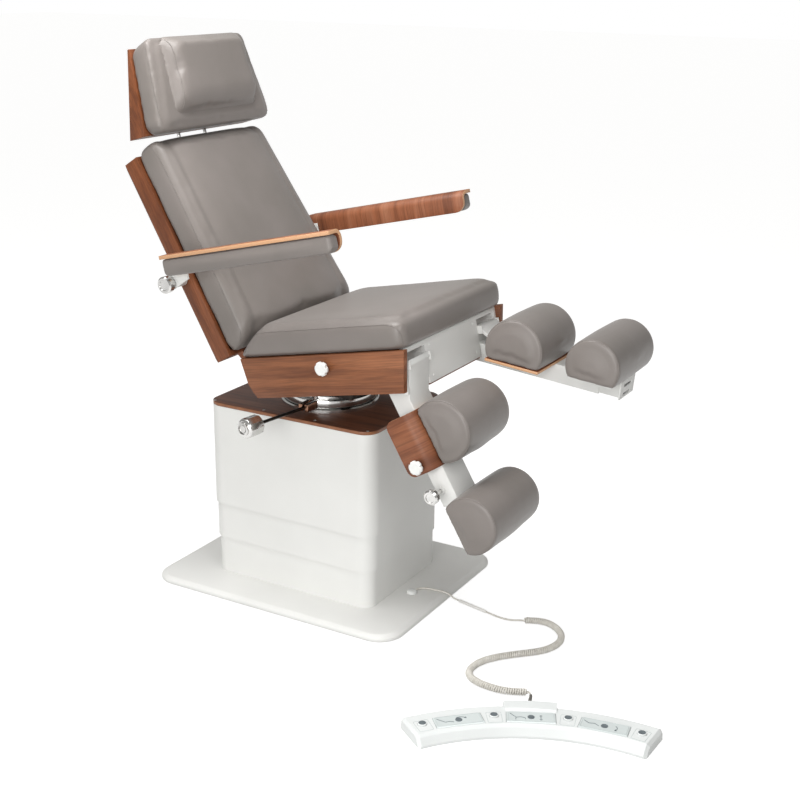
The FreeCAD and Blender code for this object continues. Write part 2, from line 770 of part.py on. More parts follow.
def seat_pan():
    """The wooden tray under the seat: two sides, a deck and a slanted rear board."""
    body = new_body("seat_pan")
    side = [(pan_rear, ZERO), (pan_rear_mid, -pan_mid_depth), (pan_rear_low, -pan_depth),
            (pan_front_low, -pan_depth), (pan_front, ZERO)]
    run(body, "XZ_Plane", -seat_half, seat_half, [side])
    inner = seat_half - panel_thick
    deck_end = front_panel_face - front_panel_thick
    low = -pan_depth - overrun
    hollow = [(deck_end, overrun), (pan_front + overrun, overrun), (pan_front + overrun, low),
              (pan_rear_low + panel_thick, low), (pan_rear_mid + panel_thick, -pan_mid_depth),
              (pan_rear + panel_thick, -panel_thick), (deck_end, -panel_thick)]
    run(body, "XZ_Plane", -inner, inner, [hollow], cut=True)
    out = seat_half + overrun
    slots = [(pan_rear - overrun, -panel_thick - frame_plate_thick * 0.6), (pan_rear - overrun, -hinge_deep - overrun),
             (frame_plate_rear, -hinge_deep - overrun), (frame_plate_rear, -panel_thick - frame_plate_thick * 0.6)]
    room = hinge_thick / 2 + running_gap * 3
    for sign in (-1, 1):
        run(body, "XZ_Plane", hinge_place * sign - room, hinge_place * sign + room, [slots], cut=True)
    run(body, "XZ_Plane", -seat_half - overrun, -seat_half + overrun + running_gap,
        circles=[(seat_knob_x, -seat_knob_depth, calf_screw_radius + running_gap)], cut=True)
    chamfers = []
    for sign in (-1, 1):
        chamfers.append([(seat_half * sign, -pan_crease), (out * sign, -pan_crease), (out * sign, low),
                         ((seat_half - pan_crease_run) * sign, low)])
    run(body, "YZ_Plane", pan_rear - overrun, pan_front + overrun, chamfers, cut=True)
    lean_seat(body)


def seat_front_panel():
    """The white panel behind the leg hinges, notched for both legs."""
    body = new_body("seat_front_panel")
    inner = seat_half - panel_thick
    low = -front_panel_depth
    corners = [(-inner, -front_panel_top), (-inner, low)]
    for a, b in ((-yoke_notch_out, -yoke_notch_in), (yoke_notch_in, yoke_notch_out)):
        corners += [(a, low), (a, -yoke_notch_top), (b, -yoke_notch_top), (b, low)]
    corners += [(inner, low), (inner, -front_panel_top)]
    run(body, "YZ_Plane", front_panel_face - front_panel_thick, front_panel_face, [corners])
    lean_seat(body)


def seat_frame():
    """The steel frame inside the tray: a plate, rails, the legs' ears and pins, and the tilt ears."""
    body = new_body("seat_frame")
    top = -panel_thick
    low = top - frame_plate_thick
    inner = seat_half - panel_thick
    run(body, "XY_Plane", low, top, [bar(frame_plate_rear, frame_plate_front, -inner + rail_wide, inner - rail_wide)])
    rail_end = front_panel_face - front_panel_thick
    for sign in (-1, 1):
        for edge, step in ((yoke_notch_in, -rail_wide), (yoke_notch_out, rail_wide)):
            run(body, "XZ_Plane", *sorted((edge * sign, (edge + step) * sign), key=float),
                [bar(frame_plate_rear, rail_end, low - rail_deep, low)])
        for edge, step in ((yoke_notch_in, ear_thick), (yoke_notch_out, -ear_thick)):
            run(body, "XZ_Plane", *sorted((edge * sign, (edge + step) * sign), key=float),
                [bar(ear_rear, leg_pin_x + ear_radius, -leg_pin_depth - ear_radius, -leg_pin_depth + ear_radius)])
        run(body, "XZ_Plane", *sorted((yoke_notch_in * sign, yoke_notch_out * sign), key=float),
            circles=[(leg_pin_x, -leg_pin_depth, leg_pin_radius)])
    pin_x, pin_z = tilt_in_seat()
    half = cradle_wide / 2
    for sign in (-1, 1):
        span = sorted(((half + running_gap) * sign, (half + running_gap + cradle_cheek) * sign), key=float)
        ear = [(pin_x - tilt_ear_half, top), (pin_x + tilt_ear_half, top), (pin_x + tilt_ear_half / 2, pin_z),
               (pin_x + tilt_ear_half / 3, pin_z - tilt_pin_radius * 2),
               (pin_x - tilt_ear_half / 3, pin_z - tilt_pin_radius * 2), (pin_x - tilt_ear_half / 2, pin_z)]
        run(body, "XZ_Plane", *span, [ear])
    run(body, "XZ_Plane", -half - cradle_cheek, half + cradle_cheek, circles=[(pin_x, pin_z, tilt_pin_radius)])
    arm_top = -panel_thick - frame_plate_thick
    arm = [(frame_plate_rear / 3, arm_top), (pan_rear, arm_top), (recline_x + hinge_radius, -recline_depth + hinge_radius * 0.8),
           (recline_x, -recline_depth + hinge_radius), (recline_x - hinge_radius, -recline_depth),
           (recline_x - hinge_radius * 0.7, -recline_depth - hinge_radius * 0.7), (pan_rear, -hinge_deep),
           (frame_plate_rear / 3, -hinge_deep)]
    for sign in (-1, 1):
        low = hinge_place * sign - hinge_thick / 2
        run(body, "XZ_Plane", low, low + hinge_thick, [arm])
        run(body, "XZ_Plane", low - overrun, low + hinge_thick + overrun,
            circles=[(recline_x, -recline_depth, hinge_pin_radius + running_gap)], cut=True)
    lean_seat(body)


def tilt_in_seat():
    """The tilt pin's place in the seat's frame."""
    rise = tilt_axis_z - seat_level
    x = tilt_axis_x * cosine(seat_tilt) + rise * sine(seat_tilt)
    z = rise * cosine(seat_tilt) - tilt_axis_x * sine(seat_tilt)
    return x, z


def seat_cushion():
    """The seat's upholstery: drawn in at its foot, full at the seam, crowned on top."""
    foot = running_gap.number
    seam = cushion_seam.number
    top = cushion_thick.number
    edge = cushion_edge.number
    layers = [(foot, cushion_drawn.number), (seam * 0.3, cushion_drawn.number * 0.25), (seam * 0.7, 0.0), (seam, 0.0),
              (seam + (top - seam) * 0.45, edge * 0.25), (seam + (top - seam) * 0.75, edge * 0.75),
              (seam + (top - seam) * 0.92, edge * 1.8), (top, edge * 3.6)]
    slope = (cushion_rear_top.number - cushion_rear.number) / seam
    wires = []
    for level, inset in layers:
        rear = cushion_rear.number + slope * min(level, seam) + inset
        front = cushion_front.number - inset
        side = seat_half.number - inset
        corners = [(rear, -side, level), (front, -side, level), (front, side, level), (rear, side, level)]
        wires.append(rounded_wire(corners, cushion_corner.number))
    lean_seat(soft_piece("seat_cushion", wires))


def star_knob(label, screw_radius, screw_long):
    """A five lobed knob on its neck, turned about Y, with its screw behind it."""
    body = new_body(label)
    neck_end = star_neck
    turn(body, [(ZERO, -screw_long), (screw_radius, -screw_long), (screw_radius, ZERO), (star_neck_radius, ZERO),
                (star_neck_radius, neck_end), (star_radius, neck_end + star_thick * 0.2),
                (star_radius, neck_end + star_thick * 0.7), (star_radius * 0.8, neck_end + star_thick),
                (ZERO, neck_end + star_thick)])
    circles = []
    for index in range(6):
        angle = math.radians(60 * index + 30)
        reach_out = star_radius + star_groove * 0.35
        circles.append((reach_out * math.cos(angle), reach_out * math.sin(angle), star_groove))
    run(body, "XZ_Plane", neck_end - overrun / 5, neck_end + star_thick + overrun, circles=circles, cut=True)
    return body


def put_on_side(body, side, x, y, z):
    """Stands a turned knob on a side wall: its neck starts at y and its face looks outwards."""
    body.Placement = Placement(Vector(0, 0, 0), Rotation(Vector(0, 0, 1), 0 if side > 0 else 180))
    bind(body, "Placement.Base.x", x)
    bind(body, "Placement.Base.y", y * side)
    bind(body, "Placement.Base.z", z)


def seat_knob():
    body = star_knob("seat_knob", calf_screw_radius, overrun)
    x, z = seat_point(seat_knob_x, -seat_knob_depth)
    put_on_side(body, -1, x, seat_half + running_gap, z)


def back_half_at(rise):
    """The back's half width at a height along it."""
    return back_half - back_taper * (rise / back_long)


def back_shell():
    """The wooden tray behind the back cushion, with the rail that guides the head rest's rods."""
    body = new_body("back_shell")
    top_half = back_half - back_taper
    outline = [(-back_half, ZERO), (back_half, ZERO), (top_half, back_long), (-top_half, back_long)]
    tray = run(body, "YZ_Plane", ZERO, back_thick, [outline])
    soften(body, tray, back_edge, lambda edge: abs(middle(edge).x) < 1e-3, "PartDesign::Chamfer")
    wall = back_wall * 1.6
    inside = [(-back_half + wall, wall), (back_half - wall, wall), (top_half - wall, back_long - wall),
              (-top_half + wall, back_long - wall)]
    run(body, "YZ_Plane", back_wall, back_thick + overrun, [inside], cut=True)
    run(body, "XY_Plane", guide_low, guide_low + guide_tall,
        [bar(back_wall - 0.2 * back_wall, back_thick, -guide_half, guide_half)])
    rod_bores(body, rod_radius + running_gap)
    x, z = recline_in_back()
    ear = [(x - hinge_radius * 2, wall), (back_thick, wall), (x + hinge_radius * 0.8, z),
           (x + hinge_radius / 2, z - hinge_radius),
           (x - hinge_radius / 2, z - hinge_radius), (x - hinge_radius, z)]
    for sign in (-1, 1):
        inner = hinge_place - hinge_thick / 2 - running_gap
        outer = hinge_place + hinge_thick / 2 + running_gap
        for low, high in ((inner - hinge_ear, inner), (outer, outer + hinge_ear)):
            run(body, "XZ_Plane", *sorted((low * sign, high * sign), key=float), [ear])
        run(body, "XZ_Plane", *sorted(((inner - hinge_ear) * sign, (outer + hinge_ear) * sign), key=float),
            circles=[(x, z, hinge_pin_radius)])
    lean_back(body)


def recline_in_back():
    """The recline pin's place in the back's frame."""
    along_seat = recline_x - back_x
    up = back_depth - recline_depth
    x = along_seat * cosine(back_lean) + up * sine(back_lean)
    z = up * cosine(back_lean) - along_seat * sine(back_lean)
    return x, z


def rod_bores(body, radius):
    """Bores through the guide rail, along the head rest's rods."""
    turned = head_tip
    for sign in (-1, 1):
        sketch = draw(body, "XY_Plane", rod_low, circles=[(-rod_drop, rod_spread * sign, radius)])
        sketch.AttachmentOffset = Placement(Vector(0, 0, 0), Rotation(Vector(0, 1, 0), turned.number))
        bind(sketch, "AttachmentOffset.Base.x", rod_low * sine(turned))
        bind(sketch, "AttachmentOffset.Base.z", rod_low * cosine(turned))
        bind(sketch, "AttachmentOffset.Rotation.Angle", turned)
        pocket = body.newObject("PartDesign::Pocket", f"{body.Name}Bore")
        pocket.Profile = sketch
        pocket.Reversed = True
        bind(pocket, "Length", rod_high - rod_low)
        DOC.recompute()


def back_cushion():
    """The back's upholstery, slanted at its foot to clear the seat."""
    foot = back_thick.number + running_gap.number
    seam = back_cushion_seam.number
    face = back_cushion_face.number
    edge = back_cushion_edge.number
    rise = face - seam
    layers = [(foot, cushion_drawn.number), (foot + (seam - foot) * 0.35, cushion_drawn.number * 0.2), (seam, 0.0),
              (seam + rise * 0.35, edge * 0.08), (seam + rise * 0.62, edge * 0.24), (seam + rise * 0.82, edge * 0.5),
              (seam + rise * 0.94, edge * 0.85), (face, edge * 1.6)]
    slope = back_cushion_slant.number / (face - foot)
    wires = []
    for level, inset in layers:
        low = -back_wall.number * 0.3 + slope * (level - foot) + inset
        high = back_cushion_top.number - inset
        taper = back_taper.number / back_long.number
        low_half = back_half.number - taper * low - inset
        top_half = back_half.number - taper * high - inset
        corners = [(level, -low_half, low), (level, low_half, low), (level, top_half, high), (level, -top_half, high)]
        wires.append(rounded_wire(corners, cushion_corner.number))
    cushion = soft_piece("back_cushion", wires)
    solid = cushion.Shape
    room = rod_radius.number + running_gap.number * 8
    for sign in (-1, 1):
        slot = head_slot(room, sign)
        solid = solid.cut(slot)
    cushion.Shape = solid
    lean_back(cushion)


def head_slot(room, sign):
    """The room round one rod of the head rest, in the back's frame."""
    long = rod_high.number - rod_low.number + back_long.number
    block = Part.makeBox(back_cushion_face.number, room * 2, long)
    block.translate(Vector(-rod_drop.number - back_cushion_face.number + room, sign * rod_spread.number - room,
                           rod_low.number - back_long.number * 0.2))
    block.rotate(Vector(0, 0, 0), Vector(0, 1, 0), head_tip.number)
    return block


def head_rods():
    """Two steel rods that carry the head rest."""
    rods = []
    for sign, name in ((-1, "right_rod"), (1, "left_rod")):
        rod = DOC.addObject("Part::Cylinder", name)
        bind(rod, "Radius", rod_radius)
        bind(rod, "Height", rod_high - rod_low)
        bind(rod, "Placement.Base.x", -rod_drop)
        bind(rod, "Placement.Base.y", rod_spread * sign)
        bind(rod, "Placement.Base.z", rod_low)
        rods.append(rod)
    bridge = DOC.addObject("Part::Box", "rod_bridge")
    bind(bridge, "Length", rod_radius * 1.6)
    bind(bridge, "Width", rod_spread * 2)
    bind(bridge, "Height", rod_radius * 2)
    bind(bridge, "Placement.Base.x", -rod_drop - rod_radius * 0.8)
    bind(bridge, "Placement.Base.y", -rod_spread)
    bind(bridge, "Placement.Base.z", rod_low)
    both = DOC.addObject("Part::MultiFuse", "head_rods")
    both.Shapes = rods + [bridge]
    lean_head(piece(both, "head_rods"))


def head_shell():
    """The wooden wedge behind the head cushion, bored for the rods."""
    body = new_body("head_shell")
    low = draw(body, "XY_Plane", head_low, [bar(-wedge_back_low, -wedge_front_low, -head_half_low, head_half_low)])
    top = draw(body, "XY_Plane", head_top, [bar(-wedge_back_top, -wedge_front_top, -head_half_top, head_half_top)])
    wedge = body.newObject("PartDesign::AdditiveLoft", "head_shellWedge")
    wedge.Profile = low
    wedge.Sections = [top]
    DOC.recompute()
    run(body, "XY_Plane", head_low - overrun, rod_high,
        circles=[(-rod_drop, -rod_spread, rod_radius), (-rod_drop, rod_spread, rod_radius)], cut=True)
    lean_head(body)


def head_cushion():
    """The head rest's upholstery, narrower at its top."""
    seam = head_cushion_seam.number
    face = head_cushion_face.number
    edge = head_cushion_edge.number
    drawn = cushion_drawn.number
    layers = [(0.0, drawn, 0.0), (0.35, drawn * 0.2, 0.35), (0.8, 0.0, 0.8), (1.0, 0.0, 1.0)]
    wires = []
    back_low = -wedge_front_low.number + running_gap.number
    back_top = -wedge_front_top.number + running_gap.number
    for share, inset, climb in layers:
        low_level = back_low + (seam - back_low) * share
        top_level = back_top + (seam - back_top) * share
        low = head_low.number - head_cushion_lap.number + inset
        high = head_top.number + head_cushion_rise.number * climb - inset
        wires.append(head_outline(low_level, top_level, low, high, inset, cushion_corner.number))
    for share, inset in ((0.45, edge * 0.25), (0.8, edge * 0.7), (1.0, edge * 1.2)):
        level = seam + (face - seam) * share
        low = head_low.number - head_cushion_lap.number + inset
        high = head_top.number + head_cushion_rise.number - inset
        wires.append(head_outline(level, level, low, high, inset, cushion_corner.number))
    lean_head(soft_piece("head_cushion", wires))


def head_outline(low_level, top_level, low, high, inset, corner):
    """One layer of the head cushion: a trapezium of the wedge's own taper."""
    taper = (head_half_low.number - head_half_top.number) / (head_top.number - head_low.number)
    low_half = head_half_low.number + head_cushion_side.number - taper * (low - head_low.number) - inset
    top_half = head_half_low.number + head_cushion_side.number - taper * (high - head_low.number) - inset
    corners = [(low_level, -low_half, low), (low_level, low_half, low),
               (top_level, top_half, high), (top_level, -top_half, high)]
    return rounded_wire(corners, corner)


def head_pillow():
    """The pillow on the head cushion, sloped towards the neck."""
    foot = head_cushion_face.number
    thick = pillow_thick.number
    wires = []
    top = head_top.number + head_cushion_rise.number - head_cushion_edge.number * 1.2
    for share, side_share, low_share in ((0.0, 0.0, 0.0), (0.3, 0.07, 0.15), (0.7, 0.32, 0.46), (0.9, 0.57, 0.69),
                                         (1.0, 1.0, 1.0)):
        level = foot + thick * share
        inset = pillow_edge.number * side_share
        half = pillow_half.number - inset
        low = pillow_low.number + pillow_slope.number * low_share
        high = top - inset * 0.4
        top_half = half - pillow_taper.number
        corners = [(level, -half, low), (level, half, low), (level, top_half, high), (level, -top_half, high)]
        wires.append(rounded_wire(corners, pillow_corner.number))
    lean_head(soft_piece("head_pillow", wires))


def arm_span(side, low, high):
    return sorted((low * side, high * side), key=float)


def arm_shell(side, name):
    """The bent plywood over an arm rest: a top and an inner wall."""
    body = new_body(f"{name}_arm_shell")
    inner = arm_inner * side
    outline = [(inner, ZERO), (arm_outer * side, ZERO), (arm_outer * side, -arm_ply),
               ((arm_inner + arm_ply) * side, -arm_ply), ((arm_inner + arm_ply) * side, -arm_tall), (inner, -arm_tall)]
    bent = run(body, "YZ_Plane", arm_rear, arm_front, [outline])
    outer = soften(body, bent, arm_bend,
                   lambda edge: along(edge, 0) and abs(middle(edge).y - inner.number) < 1e-3 and abs(middle(edge).z) < 1e-3)
    soften(body, outer, arm_bend - arm_ply,
           lambda edge: along(edge, 0) and abs(middle(edge).y - (arm_inner + arm_ply).number * side) < 1e-3
           and abs(middle(edge).z + arm_ply.number) < 1e-3)
    lean_arm(body)


def arm_pad(side, name):
    """The padding under an arm rest's plywood, rounded at its ends."""
    low = arm_inner.number + arm_ply.number + running_gap.number
    high = arm_outer.number
    top = -arm_ply.number - running_gap.number
    depth = arm_pad_tall.number
    bend = arm_bend.number - arm_ply.number
    front = arm_pad_front.number
    rear = arm_rear.number
    edge = arm_pad_edge.number
    wires = []
    for share, edge_share in ((0.0, 0.35), (0.05, 0.1), (0.12, 0.0), (0.26, 0.0), (0.78, 0.0), (0.88, 0.15),
                              (0.96, 0.5), (1.0, 1.0)):
        level = top - depth * share
        inset = edge * edge_share
        below = min(depth * share, bend)
        bent = bend - math.sqrt(bend * bend - (bend - below) * (bend - below))
        inner = side * (low + max(bent, inset * 0.5))
        outer = side * (high - inset * 0.7)
        corners = [(rear + inset, inner, level), (front - inset, inner, level), (front - inset, outer, level),
                   (rear + inset, outer, level)]
        wires.append(rounded_wire(corners, arm_pad_corner.number))
    lean_arm(soft_piece(f"{name}_arm_pad", wires))


def arm_bracket(side, name):
    """The white plate that carries an arm rest, with its pivot boss."""
    body = new_body(f"{name}_arm_bracket")
    x, z = arm_pivot_x, -arm_pivot_drop
    plate = [(x - boss_radius * 1.2, z + boss_radius * 0.3), (x - boss_radius, z - boss_radius),
             (x + boss_radius * 0.6, z - boss_radius * 1.1), (bracket_reach, -arm_tall * 0.9),
             (bracket_reach, -arm_bend * 1.2), (arm_rear, -arm_bend * 1.2)]
    run(body, "XZ_Plane", *arm_span(side, arm_inner - bracket_thick, arm_inner), [plate])
    boss_start = back_half_at(arm_pivot_rise() - boss_radius) + running_gap
    run(body, "XZ_Plane", *arm_span(side, boss_start, arm_inner), circles=[(x, z, boss_radius)])
    pin = arm_pin_radius + running_gap
    run(body, "XZ_Plane", *arm_span(side, arm_inner - arm_ply * 2, arm_inner + overrun), circles=[(x, z, pin)], cut=True)
    lean_arm(body)


def arm_pivot_rise():
    """The height of the arm rests' pivot along the back."""
    x, z = arm_pivot_row()
    bx, bz = seat_point(back_x, -back_depth)
    lean_angle = back_lean + seat_tilt
    return (z - bz) * cosine(lean_angle) - (x - bx) * sine(lean_angle)


def arm_pivot_row():
    """The arm rests' pivot, as x and z of the row."""
    x0, z0 = seat_point(arm_x, arm_rise)
    slope = arm_slope + seat_tilt
    x = x0 + arm_pivot_x * cosine(slope) + arm_pivot_drop * sine(slope)
    z = z0 + arm_pivot_x * sine(slope) - arm_pivot_drop * cosine(slope)
    return x, z


def clamp_knob(label, radius, long, stub_radius, stub_long):
    """A bright turned knob with a grooved rim, on its stub, turned about Y."""
    body = new_body(label)
    bevel = clamp_knob_bevel
    turn(body, [(ZERO, -stub_long), (stub_radius, -stub_long), (stub_radius, ZERO), (radius * 0.6, ZERO),
                (radius * 0.6, bevel), (radius - bevel * 0.4, bevel), (radius, bevel * 2), (radius, long - bevel),
                (radius - bevel, long), (radius * 0.6, long), (radius * 0.55, long - bevel * 0.5), (ZERO, long - bevel * 0.5)])
    return body


def arm_knob(side, name):
    body = clamp_knob(f"{name}_arm_knob", clamp_knob_radius, clamp_knob_long, arm_pin_radius,
                      arm_ply * 1.8)
    x, z = arm_pivot_row()
    put_on_side(body, side, x, arm_inner + running_gap, z)


def leg_row(drop, along_tube, off_tube):
    """A point of a leg's frame, as x and z of the row."""
    x0, z0 = seat_point(leg_pin_x, -leg_pin_depth)
    x = x0 + along_tube * cosine(drop) + off_tube * sine(drop)
    z = z0 - along_tube * sine(drop) + off_tube * cosine(drop)
    return x, z


def leg_span(side, half, shift=ZERO):
    return sorted(((leg_centre + shift - half) * side, (leg_centre + shift + half) * side), key=float)


def leg_tube(side, name, drop):
    """A leg's square tube with its rear plate, sloping web and hinge barrel."""
    body = new_body(f"{name}_leg_tube")
    half = leg_tube_wide / 2
    top = -leg_tube_below
    low = top - leg_tube_deep
    wall = leg_tube_wall
    centre = leg_centre * side
    run(body, "YZ_Plane", ZERO, leg_tube_end,
        [bar(centre - half, centre + half, low, top), bar(centre - half + wall, centre + half - wall, low + wall, top - wall)])
    plate = [(-leg_flange_thick, ZERO), (-leg_flange_thick, low), (ZERO, low), (ZERO, ZERO)]
    run(body, "XZ_Plane", *leg_span(side, half), [plate])
    rise = leg_barrel_radius
    web = [(-rise, rise), (ZERO, rise), (leg_web_end, top), (leg_web_end - leg_web_thick * 2, top), (-rise * 0.5, ZERO)]
    run(body, "XZ_Plane", *leg_span(side, half), [web])
    run(body, "XZ_Plane", *leg_span(side, half), circles=[(ZERO, ZERO, leg_barrel_radius)])
    run(body, "XZ_Plane", *leg_span(side, half + overrun), circles=[(ZERO, ZERO, leg_pin_radius + running_gap)], cut=True)
    outer = (leg_centre + half) * side
    run(body, "XZ_Plane", *sorted(((leg_centre + half) * side, (leg_centre + half + leg_boss_long) * side), key=float),
        circles=[(leg_knob_place, -leg_knob_depth, leg_boss_radius)])
    run(body, "XZ_Plane", *sorted(((leg_centre + half - wall - overrun) * side,
                                   (leg_centre + half + leg_boss_long + overrun) * side), key=float),
        circles=[(leg_knob_place, -leg_knob_depth, arm_pin_radius + running_gap)], cut=True)
    lean_leg(body, drop)


def roll_wires(chord, radius, seat, start, low, high, side):
    """Outlines across a round cushion: a chord below and a swollen arc above."""
    wires = []
    rise = math.sqrt(radius * radius - chord * chord / 4)
    middle_u = start + chord / 2
    edge = roll_edge.number
    crown = roll_crown.number
    span = high - low
    for share, inset in ((0.0, edge), (edge * 0.3 / span, edge * 0.35), (edge / span, 0.0), (0.25, -crown * 0.6),
                         (0.5, -crown), (0.75, -crown * 0.6), (1 - edge / span, 0.0),
                         (1 - edge * 0.3 / span, edge * 0.35), (1.0, edge)):
        y = side * (low + span * share)
        r = radius - inset
        centre = Vector(middle_u, y, rise - seat)
        a0 = math.asin(rise / r)
        spots = []
        for step in range(5):
            angle = -a0 + (math.pi + 2 * a0) * step / 4
            spots.append(centre + Vector(r * math.cos(angle), 0, r * math.sin(angle)))
        arcs = []
        for step in range(4):
            angle = -a0 + (math.pi + 2 * a0) * (step + 0.5) / 4
            crown_spot = centre + Vector(r * math.cos(angle), 0, r * math.sin(angle))
            arcs.append(Part.Arc(spots[step], crown_spot, spots[step + 1]).toShape())
        arcs.append(Part.LineSegment(spots[4], spots[0]).toShape())
        wires.append(Part.Wire(arcs))
    return wires


def calf_cushion(side, name, drop, start):
    wires = roll_wires(calf_chord.number, calf_radius.number, calf_seat.number, start.number, calf_inner.number,
                       calf_outer.number, side)
    lean_leg(soft_piece(f"{name}_calf_cushion", wires), drop)


def calf_shell(side, name, drop, start):
    """The bent plywood under a calf cushion, turned down at its outer side."""
    body = new_body(f"{name}_calf_shell")
    top = -calf_seat - running_gap * 0.5
    low = top - calf_shell_thick
    out = calf_shell_out * side
    inside = (calf_shell_out - calf_shell_thick) * side
    outline = [(calf_inner * side, top), (out, top), (out, -calf_shell_drop), (inside, -calf_shell_drop),
               (inside, low), (calf_inner * side, low)]
    bent = run(body, "YZ_Plane", start - overrun * 0.4, start + calf_shell_long, [outline])
    outer = soften(body, bent, calf_shell_bend,
                   lambda edge: along(edge, 0) and abs(middle(edge).y - out.number) < 1e-3
                   and abs(middle(edge).z - top.number) < 1e-3)
    soften(body, outer, calf_shell_bend - calf_shell_thick,
           lambda edge: along(edge, 0) and abs(middle(edge).y - inside.number) < 1e-3
           and abs(middle(edge).z - low.number) < 1e-3)
    hole = calf_screw_radius + running_gap
    run(body, "XZ_Plane", *sorted((inside - overrun * side, out + overrun * side), key=float),
        circles=[(start + calf_knob_along, -calf_knob_depth, hole)], cut=True)
    lean_leg(body, drop)


def calf_knob(side, name, drop, start):
    half = leg_tube_wide / 2
    screw = calf_shell_out - leg_centre - half
    body = star_knob(f"{name}_calf_knob", calf_screw_radius, screw)
    x, z = leg_row(drop, start + calf_knob_along, -calf_knob_depth)
    put_on_side(body, side, x, calf_shell_out + running_gap, z)


def foot_cushion(side, name, drop, start):
    wires = roll_wires(foot_chord.number, foot_radius.number, foot_seat.number, start.number, foot_inner.number,
                       foot_outer.number, side)
    lean_leg(soft_piece(f"{name}_foot_cushion", wires), drop)


def foot_tube(side, name, drop, start):
    """The inner tube of a leg with the foot cushion's plate and the slotted end plate."""
    body = new_body(f"{name}_foot_tube")
    gap = running_gap
    wall = leg_tube_wall
    half = leg_tube_wide / 2 - wall - gap
    top = -leg_tube_below - wall - gap
    low = -leg_tube_below - leg_tube_deep + wall + gap
    centre = leg_centre * side
    end = start + foot_end_along
    run(body, "YZ_Plane", start - foot_tube_back, end,
        [bar(centre - half, centre + half, low, top), bar(centre - half + wall, centre + half - wall, low + wall, top - wall)])
    plate_top = -foot_seat - gap * 0.5
    run(body, "XY_Plane", top - gap, plate_top,
        [bar(start + foot_plate_along, end, *sorted(((foot_inner + roll_edge * 2) * side, (foot_outer - roll_edge * 2) * side),
                                                     key=float))])
    wide = leg_tube_wide / 2
    run(body, "YZ_Plane", end, end + foot_end_thick, [bar(centre - wide, centre + wide, -foot_end_drop, plate_top)])
    slots = []
    for level in (0.42, 0.68):
        z = -foot_end_drop * level - foot_seat * 0.4
        slots.append(bar(centre - foot_slot_half, centre + foot_slot_half, z - foot_slot_high, z))
    run(body, "YZ_Plane", end - overrun, end + foot_end_thick + overrun, slots, cut=True)
    lean_leg(body, drop)


def leg_knob(side, name, drop):
    half = leg_tube_wide / 2
    stub = leg_knob_out - leg_centre - half + leg_tube_wall - running_gap
    body = clamp_knob(f"{name}_leg_knob", leg_knob_radius, clamp_knob_long * 0.85, arm_pin_radius, stub)
    x, z = leg_row(drop, leg_knob_place, -leg_knob_depth)
    put_on_side(body, side, x, leg_knob_out, z)


def leg(side, name, drop, calf_start, foot_start):
    leg_tube(side, name, drop)
    calf_shell(side, name, drop, calf_start)
    calf_cushion(side, name, drop, calf_start)
    calf_knob(side, name, drop, calf_start)
    foot_tube(side, name, drop, foot_start)
    foot_cushion(side, name, drop, foot_start)
    leg_knob(side, name, drop)


def arm(side, name):
    arm_bracket(side, name)
    arm_shell(side, name)
    arm_pad(side, name)
    arm_knob(side, name)


def around(radius, angle):
    """A point of the pedal's arc, from its centre, at an angle from its middle."""
    return radius * cosine(angle), radius * sine(angle)


def face_pedal(item):
    item.Placement = Placement(Vector(0, 0, 0), Rotation(Vector(0, 0, 1), pedal_middle.number))
    bind(item, "Placement.Base.x", base_edge + socket_ahead - pedal_socket_out * cosine(pedal_middle))
    bind(item, "Placement.Base.y", socket_y - pedal_socket_out * sine(pedal_middle))
    bind(item, "Placement.Rotation.Angle", pedal_middle)


def sweep_about(body, profile, span):
    """A part turn of a profile about Z, half to each side of its plane."""
    sketch = draw(body, "XZ_Plane", ZERO, [profile])
    feature = body.newObject("PartDesign::Revolution", f"{body.Name}Turn")
    feature.Profile = sketch
    feature.ReferenceAxis = (sketch, ["V_Axis"])
    feature.Midplane = True
    bind(feature, "Angle", span)
    DOC.recompute()
    return feature


def control_angles(count):
    for index in range(count):
        yield control_step * (index - (count - 1) / 2)


def turned_bar(ring, angle, half_wide, half_long):
    """A rectangle on the arc, square to the radius at its middle."""
    corners = []
    for out, side in ((-1, -1), (1, -1), (1, 1), (-1, 1)):
        reach = ring + half_wide * out
        aside = half_long * side
        corners.append((reach * cosine(angle) - aside * sine(angle), reach * sine(angle) + aside * cosine(angle)))
    return corners


